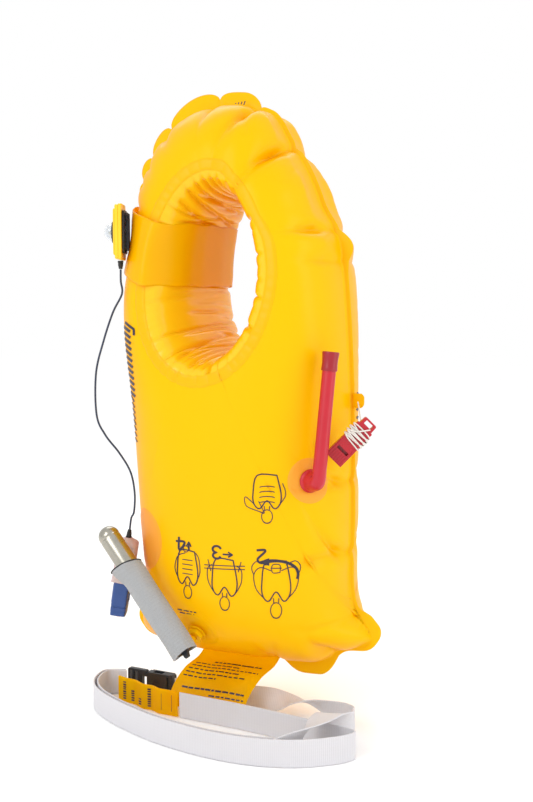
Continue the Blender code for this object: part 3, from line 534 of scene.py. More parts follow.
def body_depth(x, z):
    off = np.abs(x - lean(z))
    side = rounded(off / half_width(z))
    hem = BOTTOM + 0.017 * np.minimum(off / CORNER_REACH, 1.0) ** 6
    roll = np.where(z < BOTTOM_ROLL, rounded((BOTTOM_ROLL - z) / (BOTTOM_ROLL - hem)), 1.0)
    return BODY_DEPTH * side * roll


def ring_depth(z):
    """Half the chamber's thickness at the rim of the neck opening."""
    return 0.0795 + 0.075 * (RING_Z - z)


def ring_point(turn):
    x = RING_W * np.sin(turn) * (1.0 + 0.08 * np.cos(turn))
    z = RING_Z - RING_H * np.cos(turn)
    return x + 0.08 * np.minimum(0.0, z - RING_Z), z


def seam_outline(count):
    """The welded seam as evenly spaced points, from the middle of the bottom up the right side."""
    right = [Vector((w, 0.0, z)) for w, z in HALF_OUTLINE]
    left = [Vector((-p.x, 0.0, p.z)) for p in reversed(right[1:-1])]
    line = even(catmull(right + left, 24, closed=True), count, closed=True)
    line[:, 0] += np.where(line[:, 0] < -0.02, pinch(line[:, 2]), 0.0)
    line[:, 0] += lean(line[:, 2])
    return line


def panel_depth(px, pz, hole_z, share):
    """Distance of the smooth skin from the seam plane; share runs from 0 at the neck ring to 1 at the seam."""
    ring = ring_depth(hole_z)
    lobe = ring * rounded(share)
    body = body_depth(px, pz)
    upper = smoothstep((pz - 0.26) / 0.12)
    depth = lobe * upper + body * (1.0 - upper)
    near = (1.0 - share) ** 6
    return np.maximum(depth * (1.0 - near) + ring * near, 0.0)


def body_surface(turn, z):
    """Point and outward normal on the lower body's front, in the seam frame."""
    def bare(a, h):
        x = lean(h) + half_width(h) * squared(math.sin(a), 2.0 / FULLNESS)
        return Vector((x, -body_depth(x, h) - PANEL_OFF, h))
    step = 0.004
    across = bare(turn + step, z) - bare(turn - step, z)
    along = bare(turn, z + step) - bare(turn, z - step)
    return bare(turn, z), across.cross(along).normalized()


COLUMNS = 720
SEAM = seam_outline(COLUMNS)
STEPS = np.linalg.norm(np.roll(SEAM, -1, 0) - SEAM, axis=1)
ARC = np.concatenate([[0.0], np.cumsum(STEPS)[:-1]])
PERIMETER = float(STEPS.sum())
TURN = np.sort(np.unwrap(np.arctan2(SEAM[:, 0], RING_Z - SEAM[:, 2])))     # sorted, as the corners turn back
RING_X, RING_HIGH = ring_point(TURN)
RING = np.stack([RING_X, RING_HIGH], 1)
RING_REACH = running_length(RING)
RING_LENGTH = RING_REACH[-1] + np.linalg.norm(RING[0] - RING[-1])
RING_TO_SEAM = np.hypot(SEAM[:, 0] - RING_X, SEAM[:, 2] - RING_HIGH)
OUTWARD = np.roll(SEAM, -1, 0) - np.roll(SEAM, 1, 0)
OUTWARD = np.stack([OUTWARD[:, 2], OUTWARD[:, 0] * 0.0, -OUTWARD[:, 0]], 1)
OUTWARD /= np.linalg.norm(OUTWARD, axis=1, keepdims=True)


def arc_at(x, z):
    """Distance along the seam of the place nearest to a point of the seam plane."""
    return float(ARC[np.argmin((SEAM[:, 0] - x) ** 2 + (SEAM[:, 2] - z) ** 2)])


# where the weld margin gathers: x, z, depth of the fold at the seam, its width, its reach inwards
GATHERS = [(-0.024, 0.594, 0.0062, 0.0040, 0.018), (-0.0766, 0.572, 0.0060, 0.0040, 0.018),
           (-0.098, 0.545, 0.0060, 0.0042, 0.018), (-0.105, 0.520, 0.0040, 0.0036, 0.014),
           (-0.108, 0.496, 0.0036, 0.0036, 0.014), (0.021, 0.592, 0.0075, 0.0044, 0.036),
           (0.067, 0.556, 0.0080, 0.0046, 0.042), (0.106, 0.470, 0.0050, 0.0046, 0.022),
           (0.112, 0.440, 0.0030, 0.0036, 0.012), (0.111, 0.228, 0.0050, 0.0040, 0.030),
           (0.108, 0.158, 0.0060, 0.0046, 0.034),
           (0.104, 0.051, 0.0055, 0.0046, 0.026), (0.047, 0.048, 0.0040, 0.0050, 0.020),
           (-0.112, 0.060, 0.0036, 0.0046, 0.018), (-0.112, 0.094, 0.0030, 0.0046, 0.016)]


def round_offset(reach, centre, length):
    """Signed distance from a place on a closed line of that length."""
    return (reach - centre + length / 2) % length - length / 2


def gather_fields():
    """Folds of both skins as (arc, depth, width, reach), the large ones first."""
    rng = random.Random(11)
    folds = [(arc_at(x, z), depth, width, reach) for x, z, depth, width, reach in GATHERS]
    small = []
    place = 0.0
    while place < PERIMETER:
        depth, width = rng.uniform(0.0003, 0.0011), rng.uniform(0.0014, 0.0024)
        small.append((place, depth, width, rng.uniform(0.004, 0.010)))
        place += rng.uniform(0.007, 0.018)
    return folds, small


FOLDS, SMALL_FOLDS = gather_fields()


def fold_depth(folds, dist, bend=0.0):
    """Summed depth of folds that run in from the seam, as rows (distance) by columns (arc)."""
    total = np.zeros((len(dist), COLUMNS))
    for k, (centre, depth, width, reach) in enumerate(folds):
        off = round_offset(ARC, centre, PERIMETER)[None, :] + bend * math.sin(k * 2.3) * dist
        spread = width * (1.0 + dist / reach * 1.1)
        shape = np.exp(-np.abs(off / spread) ** 1.25)
        total += depth * shape * np.exp(-(dist / reach) ** 1.4)
    return total


def ring_folds(seed, low, high):
    """Gathers round the neck ring, between low and high apart, as one value per column."""
    rng = random.Random(seed)
    total = np.zeros(COLUMNS)
    place = 0.0
    while place < RING_LENGTH - low / 2:
        off = round_offset(RING_REACH, place, RING_LENGTH)
        width = rng.uniform(0.16, 0.30) * low
        total += rng.uniform(0.35, 1.0) * np.exp(-np.abs(off / width) ** 1.3)
        place += rng.uniform(low, high)
    total = np.minimum(total, 1.3)
    for _ in range(2):
        total = (np.roll(total, 1) + 2.0 * total + np.roll(total, -1)) / 4.0
    return total


RING_FOLDS = ring_folds(5, 0.0065, 0.0125)


# long soft creases of the front: (x, z) line, depth, width
CREASES = [([(0.124, 0.2290), (0.100, 0.2275), (0.076, 0.2285), (0.060, 0.2290)], 0.0030, 0.0036),
           ([(0.112, 0.160), (0.098, 0.158), (0.082, 0.150)], 0.0036, 0.0046),
           ([(0.021, 0.598), (0.024, 0.574), (0.036, 0.556)], 0.0042, 0.0040),
           ([(0.072, 0.562), (0.060, 0.542), (0.047, 0.533)], 0.0048, 0.0044),
           ([(0.076, 0.560), (0.079, 0.532), (0.076, 0.512)], 0.0030, 0.0044),
           ([(-0.101, 0.556), (-0.084, 0.548), (-0.073, 0.540)], 0.0026, 0.0046),
           ([(0.110, 0.472), (0.096, 0.468), (0.088, 0.466)], 0.0030, 0.0040),
           ([(0.122, 0.092), (0.098, 0.089), (0.074, 0.094)], 0.0026, 0.0052),
           ([(0.104, 0.052), (0.097, 0.068), (0.094, 0.090)], 0.0030, 0.0050),
           ([(0.047, 0.050), (0.058, 0.064), (0.064, 0.080)], 0.0026, 0.0050)]


def crease_depth(x, z):
    """Summed depth of the long creases, each deepest at its first point."""
    total = np.zeros_like(x)
    for line, depth, width in CREASES:
        points = even(catmull([(px, 0.0, pz) for px, pz in line], 12), 24)
        length = len(points) - 1
        best = np.full(x.shape, 1e9)
        fade = np.zeros_like(x)
        for i, (px, _, pz) in enumerate(points):
            d = (x - px) ** 2 + (z - pz) ** 2
            closer = d < best
            best = np.where(closer, d, best)
            here = math.cos(math.pi / 2 * i / length) ** 0.8 if i < length else 0.0
            fade = np.where(closer, here, fade)
        total += depth * fade * np.exp(-(best / width ** 2) ** 0.8)
    return total


MAJOR = sorted(arc for arc, depth, _, _ in FOLDS if depth >= 0.0030)


def lobe_phase():
    """Place between the neighbouring gathers, 0 to 1, and the length of that lobe, per column."""
    marks = np.array([MAJOR[-1] - PERIMETER] + MAJOR + [MAJOR[0] + PERIMETER])
    index = np.searchsorted(marks, ARC, side="right") - 1
    span = marks[index + 1] - marks[index]
    return (ARC - marks[index]) / span, span, index


def flange_width():
    """Width of the weld margin: broad and lobed over the left shoulder, narrow down the sides."""
    z, x = SEAM[:, 2], SEAM[:, 0]
    tall = smoothstep((z - 0.475) / 0.03)
    left = smoothstep((0.030 - x) / 0.030)
    width = 0.0036 + tall * 0.0180 * left * (1.0 - 0.42 * np.exp(-(x / 0.030) ** 2))
    width += 0.0075 * np.exp(-((z - 0.452) / 0.013) ** 2) * (x > 0)
    width *= np.where(x < 0, 1.0 - 0.90 * np.exp(-((z - BAND_Z) / 0.036) ** 4), 1.0)
    width += 0.0135 * np.exp(-np.abs((x - 0.076) / 0.027) ** 4) * (z < 0.06)
    width += 0.0085 * np.exp(-np.abs((z - 0.080) / 0.016) ** 4) * (x > 0.09)
    width += 0.0050 * np.exp(-np.abs((z - 0.078) / 0.014) ** 4) * (x < -0.09)
    width *= 1.0 - 0.75 * np.exp(-((x - 0.118) / 0.012) ** 2) * (z < 0.064)
    return width


def flange_rows():
    """Weld margin from its free edge in to the seam: in-plane reach and sway across the plane."""
    phase, span, index = lobe_phase()
    swell = np.sin(math.pi * phase) ** 0.42
    width = flange_width()
    tall = smoothstep((SEAM[:, 2] - 0.475) / 0.03) * smoothstep((0.045 - SEAM[:, 0]) / 0.03)
    lobes = tall * (0.60 + 0.40 * swell) + (1.0 - tall)
    rng = random.Random(3)
    lean_by_lobe = np.array([rng.uniform(0.3, 1.0) for _ in range(len(MAJOR) + 2)])
    sway = lean_by_lobe[index] * swell * np.minimum(span / 0.04, 1.2) * (0.25 + 0.75 * tall)
    return width * lobes, sway * np.clip(width / 0.013, 0.3, 1.2)


CORNER_LIFT = 0.0100                         # how far the right bottom corner is drawn up
RIM_PULL = (0.016, 0.040)                    # how far gathers pull in the opening's front and rear rim
DRAWN_IN = 0.0110                            # how far the gathers pull the right shoulder's seam in
MARGIN_ROWS = 7                              # rows of the weld margin, beside the one of its edge


def panel_grid(mirror, shares):
    """Skin points and normals from the free edge of the weld margin in to the neck ring."""
    reach, sway = flange_rows()
    pull = RIM_PULL[mirror < 0]
    hole_x = RING_X * (1.0 - pull * RING_FOLDS)
    hole_z = RING_Z + (RING_HIGH - RING_Z) * (1.0 - 0.75 * pull * RING_FOLDS)
    share = np.asarray(shares)[:, None]
    px = hole_x + (SEAM[:, 0] - hole_x) * share
    pz = hole_z + (SEAM[:, 2] - hole_z) * share
    base = np.stack([px, -(panel_depth(px, pz, RING_HIGH, share)) - PANEL_OFF, pz], 2)
    normal = -grid_normals(base)
    flip = np.sign(normal[len(shares) // 2, COLUMNS // 2, 1])
    normal *= -flip
    dist = (1.0 - share) * RING_TO_SEAM
    away = share * RING_TO_SEAM
    fold_share, crease_share = (0.75, 0.35) if mirror < 0 else (1.0, 1.0)
    depth = fold_depth(FOLDS, dist, 0.25) * fold_share
    depth += fold_depth(SMALL_FOLDS, dist)
    depth += 0.0011 * RING_FOLDS[None, :] * np.exp(-(away / 0.010) ** 1.5)
    depth += crease_depth(px, pz) * crease_share
    phase, lobe, _ = lobe_phase()
    swell = np.sin(math.pi * phase)[None, :] * np.minimum(lobe / 0.03, 1.0)[None, :]
    right_top = smoothstep((SEAM[:, 2] - 0.43) / 0.06) * smoothstep((SEAM[:, 0] - 0.015) / 0.02)
    puff = 0.0048 * swell * np.exp(-(dist / 0.030) ** 2) * right_top[None, :]
    fade = smoothstep(dist / 0.004)
    skin = base - normal * ((depth - puff) * fade)[:, :, None]
    notch = fold_depth(FOLDS, np.zeros((1, 1)))[0] * 0.55
    drawn = DRAWN_IN * smoothstep((SEAM[:, 0] - 0.030) / 0.035) * smoothstep((SEAM[:, 2] - 0.455) / 0.045)
    inward = notch[None, :] * np.exp(-(dist / 0.02) ** 2) + drawn[None, :] * np.exp(-(dist / 0.055) ** 2)
    skin -= OUTWARD[None, :, :] * inward[:, :, None]
    margin = []
    for k in range(MARGIN_ROWS, 0, -1):
        t = k / MARGIN_ROWS
        place = SEAM + OUTWARD * (reach * t - drawn - notch * (1.0 - 0.3 * t))[:, None]
        place[:, 1] = -PANEL_OFF + mirror * sway * 0.0065 * t ** 1.4 + 0.0006 * t
        margin.append(place)
    rows = np.concatenate([np.array(margin), skin])
    corner = smoothstep((rows[:, :, 0] - 0.084) / 0.030) * smoothstep((0.112 - rows[:, :, 2]) / 0.050)
    rows[:, :, 2] += CORNER_LIFT * corner
    rows[:, :, 1] *= mirror
    edge = rows[0].copy()
    edge[:, 1] += mirror * 0.00085
    return np.concatenate([edge[None], rows])


SKIN_SHARES = 1.0 - np.linspace(0.0, 1.0, 96) ** 1.35        # closer rows at the seam


def make_skins(film):
    for name, node, mirror in (("front_skin", "front_panel", 1.0), ("rear_skin", "rear_panel", -1.0)):
        grid = panel_grid(mirror, SKIN_SHARES)
        along, down = np.meshgrid(ARC, np.linspace(0.0, 0.25, len(grid)))
        uvs = np.stack([along, down], 2).reshape(-1, 2)
        piece = grid_piece(name, world(grid), "jacket", film, uvs=uvs)
        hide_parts(node)


# folds of the opening's wall at its top: turn in degrees, depth, width in radians, slant across the wall
TOP_FOLDS = [(164.0, 0.0042, 0.034, 0.10), (174.0, 0.0050, 0.036, 0.06), (184.0, 0.0046, 0.034, 0.12),
             (194.0, 0.0052, 0.038, 0.16), (205.0, 0.0044, 0.036, 0.22), (216.0, 0.0048, 0.040, 0.26),
             (228.0, 0.0040, 0.040, 0.30), (152.0, 0.0036, 0.034, 0.02), (8.0, 0.0030, 0.040, 0.10),
             (346.0, 0.0034, 0.045, -0.14), (330.0, 0.0034, 0.045, -0.20)]


def gusset_grid():
    """Wall of the neck opening with its ripples, from the front rim (v = -1) to the rear one."""
    v = np.linspace(-1.0, 1.0, 71)[:, None]
    swell = rounded(v)
    pull = np.where(v < 0, RIM_PULL[0], RIM_PULL[1]) * RING_FOLDS * np.abs(v) ** 6
    hole_x = RING_X * (1.0 - pull)
    hole_z = RING_Z + (RING_HIGH - RING_Z) * (1.0 - 0.75 * pull)
    x = hole_x * (1.0 - swell * NECK_BULGE_X / RING_W)
    z = RING_Z + (hole_z - RING_Z) * (1.0 - swell * NECK_BULGE_Z / RING_H)
    depth = ring_depth(RING_HIGH)[None, :] + PANEL_OFF * 0.7
    base = np.stack([x, v * depth, z], 2)
    normal = grid_normals(base)
    inward = np.stack([-RING_X, np.zeros(COLUMNS), RING_Z - RING_HIGH], 1)
    normal *= np.sign(np.sum(normal * inward[None], axis=2, keepdims=True))
    rng = random.Random(21)
    ripple = np.zeros((len(v), COLUMNS))
    place = 0.0
    while place < RING_LENGTH:
        centre = place + 0.003 * np.sin(v * rng.uniform(1.0, 3.0) + rng.uniform(0, 6.28))
        off = round_offset(RING_REACH[None, :], centre, RING_LENGTH)
        width = rng.uniform(0.0017, 0.0030)
        middle, long = rng.uniform(-0.7, 0.7), rng.uniform(0.35, 0.95)
        run = np.exp(-((v - middle) / long) ** 4)
        tight = 1.0 + 0.9 * np.abs(RING_HIGH[None, :] - RING_Z) / RING_H
        ripple += rng.uniform(0.0012, 0.0028) * tight * np.exp(-np.abs(off / width) ** 1.4) * run
        place += rng.uniform(0.0050, 0.0092)
    inside = smoothstep((1.0 - v) / 0.5) * smoothstep((1.0 + v) / 0.12)
    for centre, depth, width, bend in TOP_FOLDS:
        off = TURN[None, :] % math.tau - math.radians(centre) - bend * (v + 0.4)
        ripple += depth * np.exp(-np.abs(off / width) ** 1.5) * inside
    gather = 0.0016 * RING_FOLDS[None, :] * np.exp(-((1.0 - np.abs(v)) / 0.14) ** 1.3)
    fade = smoothstep((1.0 - np.abs(v)) / 0.03)
    return base - normal * ((ripple + gather) * fade)[:, :, None]


def make_gusset(film):
    piece = grid_piece("gusset_skin", world(gusset_grid()), "jacket", film)
    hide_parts("neck_gusset")


# ---- laying pieces on the skins ----
PRINT_STEP = 0.0011                          # length of one facet of a printed line


def tree_of(grid):
    verts = [Vector(v) for v in grid.reshape(-1, 3)]
    return BVHTree.FromPolygons(verts, grid_faces(*grid.shape[:2]))


def skin_trees():
    """The front skin, and both skins, to lay prints and patches on."""
    front, rear = (world(panel_grid(mirror, SKIN_SHARES)) for mirror in (1.0, -1.0))
    return tree_of(front), tree_of(np.concatenate([front, rear]))


def laid(tree, point, direction, lift):
    """Where a straight line from the point first meets the skin, a little lifted, and the skin's normal."""
    direction = Vector(direction).normalized()
    hit, normal, _, _ = tree.ray_cast(Vector(point), direction)
    if hit is None:
        return None, None
    if normal.dot(direction) > 0.0:
        normal = -normal
    return hit + normal * lift, normal


def print_strokes(name, strokes, place, ink):
    """Printed lines: each stroke is (points, width) in a flat drawing; place(u, v) puts it on a surface."""
    verts, faces = [], []
    for points, wide in strokes:
        reach = sum(math.dist(p, q) for p, q in zip(points, points[1:]))
        fine = even([(u, v, 0.0) for u, v in points], max(2, round(reach / PRINT_STEP) + 1))[:, :2]
        tangent = np.gradient(fine, axis=0)
        tangent /= np.maximum(np.linalg.norm(tangent, axis=1, keepdims=True), 1e-9)
        side = np.stack([-tangent[:, 1], tangent[:, 0]], 1) * wide / 2
        fine[0] -= tangent[0] * wide * 0.3
        fine[-1] += tangent[-1] * wide * 0.3
        pairs = []
        for p, q in zip(fine + side, fine - side):
            a, b = place(*p), place(*q)
            if a is not None and b is not None:
                pairs.append((a, b))
        start = len(verts)
        for a, b in pairs:
            verts += [a, b]
        for k in range(len(pairs) - 1):
            c = start + 2 * k
            faces.append((c, c + 1, c + 3, c + 2))
    return mesh_piece(name, verts, faces, "jacket", ink, angle=0.0)


# ---- welded bands and patches ----
BAND_LIFT = 0.0009                           # how proud of the skin a neck band lies


def band_grid(mirror, rows=9, fine=260):
    """Strip of the panel's skin round the neck ring, a little proud of it, cut from a finer skin."""
    grid = panel_grid(mirror, 1.0 - np.linspace(0.0, 1.0, fine))[MARGIN_ROWS + 1:]
    normal = grid_normals(grid)
    normal *= np.sign(np.sum(normal * np.array((0.0, -mirror, 0.0)), axis=2, keepdims=True))
    columns = np.arange(COLUMNS)
    strip = []
    for k in range(rows):
        t = k / (rows - 1)
        share = RING_BAND * (1.0 - t) / RING_TO_SEAM + 0.0004
        index = (1.0 - share) * (fine - 1)
        low = np.clip(np.floor(index).astype(int), 0, fine - 2)
        part = (index - low)[:, None]
        point = grid[low, columns] * (1.0 - part) + grid[low + 1, columns] * part
        edge = min(1.0, 6.0 * min(t, 1.0 - t) + 0.15)
        strip.append(point + normal[low, columns] * BAND_LIFT * edge)
    return np.array(strip)


def make_neck_bands(mat):
    for side, mirror in (("front", 1.0), ("rear", -1.0)):
        piece = grid_piece(side + "_neck_weld", world(band_grid(mirror)), "jacket", mat)
        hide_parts(side + "_neck_band")


def band_loop(z):
    """Closed line of the light's sling at a height: over the lobe's front, its inner wall and its rear."""
    edge_x = lean(z) - half_width(z) + pinch(z)
    inner_z = z - BAND_TILT * 0.07
    turn = -math.acos((RING_Z - inner_z) / RING_H)
    hole_x, hole_z = ring_point(turn)
    front = []
    for share in (1.0, 0.95, 0.85, 0.68, 0.45, 0.2, 0.0):
        px, pz = hole_x + (edge_x - hole_x) * share, hole_z + (z - hole_z) * share
        front.append(Vector((px, -float(panel_depth(px, pz, hole_z, share)) - PANEL_OFF, pz)))
    wall = []
    for v in (-0.7, -0.35, 0.0, 0.35, 0.7):
        bulge = 1.0 - float(rounded(v)) * NECK_BULGE_X / RING_W
        wall.append(Vector((hole_x * bulge, v * ring_depth(hole_z), inner_z)))
    rear = [Vector((p.x, -p.y, p.z)) for p in reversed(front[1:])]
    return front + wall + rear


def make_light_band(mat):
    rows, columns = 31, 300
    rng = random.Random(8)
    waves = [(rng.uniform(1.0, 3.2), rng.uniform(0, 6.28), rng.uniform(0.2, 1.0)) for _ in range(5)]
    grid = np.zeros((rows, columns, 3))
    for r in range(rows):
        t = r / (rows - 1)
        loop = band_loop(BAND_Z - BAND_HIGH / 2 + BAND_HIGH * t)
        points = []
        for k, p in enumerate(loop):
            tangent = (loop[(k + 1) % len(loop)] - loop[k - 1]).normalized()
            outward = Vector((-tangent.y, tangent.x, 0.0)).normalized()
            over_seam = 0.0030 * math.exp(-(p.y / 0.03) ** 2) if p.x < -0.08 else 0.0
            edge = 1.0 - abs(2.0 * t - 1.0)
            points.append(p - outward * (0.0036 + 0.0006 * min(edge * 3.0, 1.0) + over_seam))
        line = even(catmull(points, 24, closed=True), columns, closed=True)
        turn = np.linspace(0.0, math.tau, columns, endpoint=False)
        sway = sum(a * np.sin(turn * round(n * 3) + ph + 2.5 * t) for n, ph, a in waves)
        line[:, 2] += 0.0006 * sway
        grid[r] = line
    piece = grid_piece("light_sling", world(grid), "jacket", mat, thickness=SHEET)
    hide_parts("light_band")


PATCH_LIFT, PATCH_WOBBLE = 0.0007, 0.03


def patch(name, node, turn, z, radius, mat):
    """Round film patch that lies on the front skin."""
    rings, sides = 14, 90
    centre, normal = body_surface(turn, z)
    centre = in_row(centre)
    across = UP.cross(normal).normalized()
    upward = normal.cross(across).normalized()
    verts = []
    for r in range(rings + 1):
        share = r / rings
        for k in range(sides):
            a = math.tau * k / sides
            reach = radius * max(share, 0.02) * (1.0 + PATCH_WOBBLE * math.sin(2.0 * a + z * 40.0))
            start = centre + across * reach * math.cos(a) + upward * reach * math.sin(a) + normal * 0.05
            edge = PATCH_LIFT * (1.0 if r < rings else 0.15)
            place, _ = laid(FRONT_TREE, start, -normal, edge)
            verts.append(place or centre)
    faces = grid_faces(rings + 1, sides) + [tuple(range(sides))]
    piece = mesh_piece(name, verts, faces, "jacket", mat, angle=0.0)
    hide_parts(node)


# ---- oral inflation tube ----
TUBE_TURN, TUBE_Z = math.radians(54.0), 0.2345
TUBE_R, TUBE_BORE = 0.0064, 0.0045
COIL_R, WIRE_R, COIL_LOW, COIL_LONG = 0.0032, 0.0004, -0.0195, 0.0175
FOOT_PROFILE = [(0.0016, 0.0), (0.0108, 0.0), (0.0112, 0.0004), (0.0110, 0.0012), (0.0103, 0.0020),
                (0.0096, 0.0030), (0.0092, 0.0040), (0.0016, 0.0040)]
LIP_PROFILE = [(0.0068, 0.0), (0.0073, 0.0001), (0.0075, 0.0006), (0.0074, 0.0030), (0.0072, 0.0060),
               (0.0073, 0.0100), (0.0077, 0.0140), (0.0079, 0.0160), (0.0079, 0.0168), (0.0076, 0.0174),
               (0.0070, 0.0176), (0.0058, 0.0175), (0.0052, 0.0172), (0.0049, 0.0166), (0.0048, 0.0145),
               (0.0068, 0.0145)]


def tube_route():
    """Foot of the tube on the chamber, the normal there, and the bends from the foot to the top."""
    base, normal = body_surface(TUBE_TURN, TUBE_Z)
    tangent = UP.cross(normal).normalized()
    out = base + normal * 0.0080
    elbow = base + normal * 0.0165 + UP * 0.002
    rise = base + normal * 0.019 + UP * 0.016 + tangent * 0.001
    top = base + normal * 0.018 + UP * 0.114 + tangent * 0.0115
    return base, normal, [out, elbow, rise, rise.lerp(top, 0.5), top]


def make_oral_tube(red, dark_red, steel):
    base, normal, route = tube_route()
    coarse = smooth_path(route, 0.008)
    top = Vector(coarse[-1])
    along = (top - Vector(coarse[-2])).normalized()
    fine = smooth_path([base + normal * 0.0024] + route, 0.0012)
    radius = TUBE_R + 0.0029 * np.exp(-(running_length(fine) / 0.0125) ** 2.2)
    sides = 56
    outer = sweep(world(fine), [circle(r, sides) for r in radius])
    inner = sweep(world(fine), [circle(TUBE_BORE, sides)] * len(fine))
    verts = np.concatenate([outer.reshape(-1, 3), inner.reshape(-1, 3)])
    tube = mesh_piece("inflation_tube", verts, pipe_faces(len(fine), sides), "jacket", red)
    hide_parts("oral_tube")
    seat = axis_matrix(in_row(base) + normal * 0.0010, normal)
    foot = lathe("tube_foot", FOOT_PROFILE, seat, "jacket", red, 72)
    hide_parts("oral_tube_flange")
    collar = axis_matrix(in_row(top) - along * 0.011, along)
    mouth = lathe("mouth_collar", LIP_PROFILE, collar, "mouth_valve", dark_red, 72, closed=True)
    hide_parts("mouthpiece")
    make_spring(axis_matrix(in_row(top), along), steel)


def make_spring(stem, steel):
    """Return spring of the mouthpiece, inside the tube's top."""
    turns, per_turn = 4, 28
    coil = []
    for k in range(turns * per_turn + 1):
        a = math.tau * k / per_turn
        rise = COIL_LOW + COIL_LONG * k / (turns * per_turn)
        coil.append(stem @ Vector((COIL_R * math.cos(a), COIL_R * math.sin(a), rise)))
    spring = tube_piece("valve_coil", coil, WIRE_R, "jacket", steel, 10)
    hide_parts("valve_spring")
    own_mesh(spring)


# ---- gas cylinder in its cloth sleeve ----
CYL_LOW = Vector((-0.0149, -0.1062, 0.0775))
CYL_AXIS = Vector((-0.6493, 0.0614, 0.7570)).normalized()
MOUTH_Z, MOUTH_RISE, MOUTH_FLARE = 0.0895, 0.0050, 0.0045    # sleeve's mouth, and how its near side opens
BOTTLE_R = 0.0105


def make_cylinder(steel, cloth, elastic):
    place = axis_matrix(CYL_LOW + Vector(STAND), CYL_AXIS)
    dome = [(BOTTLE_R * math.cos(a), 0.1262 + 0.0100 * math.sin(a)) for a in np.linspace(0.0, 1.52, 22)]
    profile = [(0.0048, 0.0150), (0.0064, 0.0150), (0.0064, 0.0240), (0.0068, 0.0262), (0.0085, 0.0290),
               (0.0098, 0.0318), (0.0104, 0.0344), (BOTTLE_R, 0.0380), (BOTTLE_R, 0.0700), (BOTTLE_R, 0.1000),
               (BOTTLE_R, 0.1228), (0.01042, 0.1236), (0.01020, 0.1240), (0.01020, 0.1246), (0.01042, 0.1250)]
    profile += dome
    profile += [(0.0010, 0.1345), (0.0060, 0.1325), (0.0086, 0.1230), (0.0086, 0.0360), (0.0048, 0.0300)]
    shell = lathe("gas_bottle", profile, place, "cylinder", steel, 96, closed=True)
    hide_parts("gas_cylinder")

    view_side = place.to_3x3().inverted() @ (-SIDE)
    open_turn = math.atan2(view_side.y, view_side.x)

    def opened(a, h, wide):
        """Point of the sleeve at a turn and height, its mouth drawn open on the near side."""
        lip = float(smoothstep((h - MOUTH_Z + 0.0155) / 0.0155)) * (0.5 + 0.5 * math.cos(a - open_turn)) ** 1.5
        wide += MOUTH_FLARE * lip
        return Vector((wide * math.cos(a), wide * math.sin(a),
                       h + MOUTH_RISE * lip + 0.0008 * math.sin(2.0 * a)))

    def shape(a, r, h):
        near_end = math.exp(-((h + 0.0085) / 0.006) ** 2)
        gathers = 0.00045 * math.sin(14.0 * a + 1.0) * near_end - 0.0004 * near_end
        drape = 0.00022 * math.sin(3.0 * a + h * 90.0) + 0.00012 * math.sin(7.0 * a - h * 160.0)
        return opened(a, h, r + gathers + drape)

    heights = np.linspace(-0.0090, MOUTH_Z, 120)
    outer = [(0.0129 + 0.00012 * math.sin(k * 1.9), h) for k, h in enumerate(heights)]
    inner = [(0.0119, h) for h in heights[::-1]]
    sleeve = lathe("cloth_sleeve", outer + inner, place, "jacket", cloth, 96, closed=True,
                   angle=60.0, shape=shape)
    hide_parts("cylinder_sleeve")
    edge = []
    for a in np.linspace(0.0, math.tau, 160, endpoint=False):
        edge.append(place @ (opened(a, MOUTH_Z, 0.0124 + 0.00022 * math.sin(3.0 * a + 8.6)) + UP * 0.0006))
    section = circle(1.0, 12) * (0.00075, 0.0011)
    verts = sweep(edge, [section] * len(edge), closed_path=True).reshape(-1, 3)
    faces = grid_faces(len(edge), 12) + loop_faces((len(edge) - 1) * 12, 12)
    rim = mesh_piece("sleeve_edge", verts, faces, "jacket", elastic)
    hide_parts("sleeve_elastic")


# ---- belt ----
LEAD_WIDE = 0.0230                           # of the last bit of webbing, which the socket draws out
BUCKLE_TURN = math.radians(-4.0)
BUCKLE_ALONG = Vector((math.cos(BUCKLE_TURN), math.sin(BUCKLE_TURN), 0.0))
BUCKLE_SIDE = Vector((-math.sin(BUCKLE_TURN), math.cos(BUCKLE_TURN), 0.0))
BUCKLE_HALF = 0.0145                         # half the buckle's height
BUCKLE = Vector((-0.0947, -0.0263, FLOOR + BUCKLE_HALF))
LEFT_LOOP = [(-0.1452, -0.0330), (-0.1425, -0.0560), (-0.1310, -0.0760), (-0.1120, -0.0935)]
FRONT_RUN = [(-0.0780, -0.1130), (-0.0359, -0.1306), (0.0010, -0.1405), (0.0380, -0.1458), (0.0700, -0.1455),
             (0.0975, -0.1400), (0.1233, -0.1285), (0.1450, -0.1110)]


def inset(points, distance):
    """A line of (x, y) points moved sideways by a distance."""
    pts = [Vector((p[0], p[1], 0.0)) for p in points]
    result = []
    for i, p in enumerate(pts):
        tangent = (pts[min(i + 1, len(pts) - 1)] - pts[max(i - 1, 0)]).normalized()
        moved = p + Vector((-tangent.y, tangent.x, 0.0)) * distance
        result.append((moved.x, moved.y))
    return result


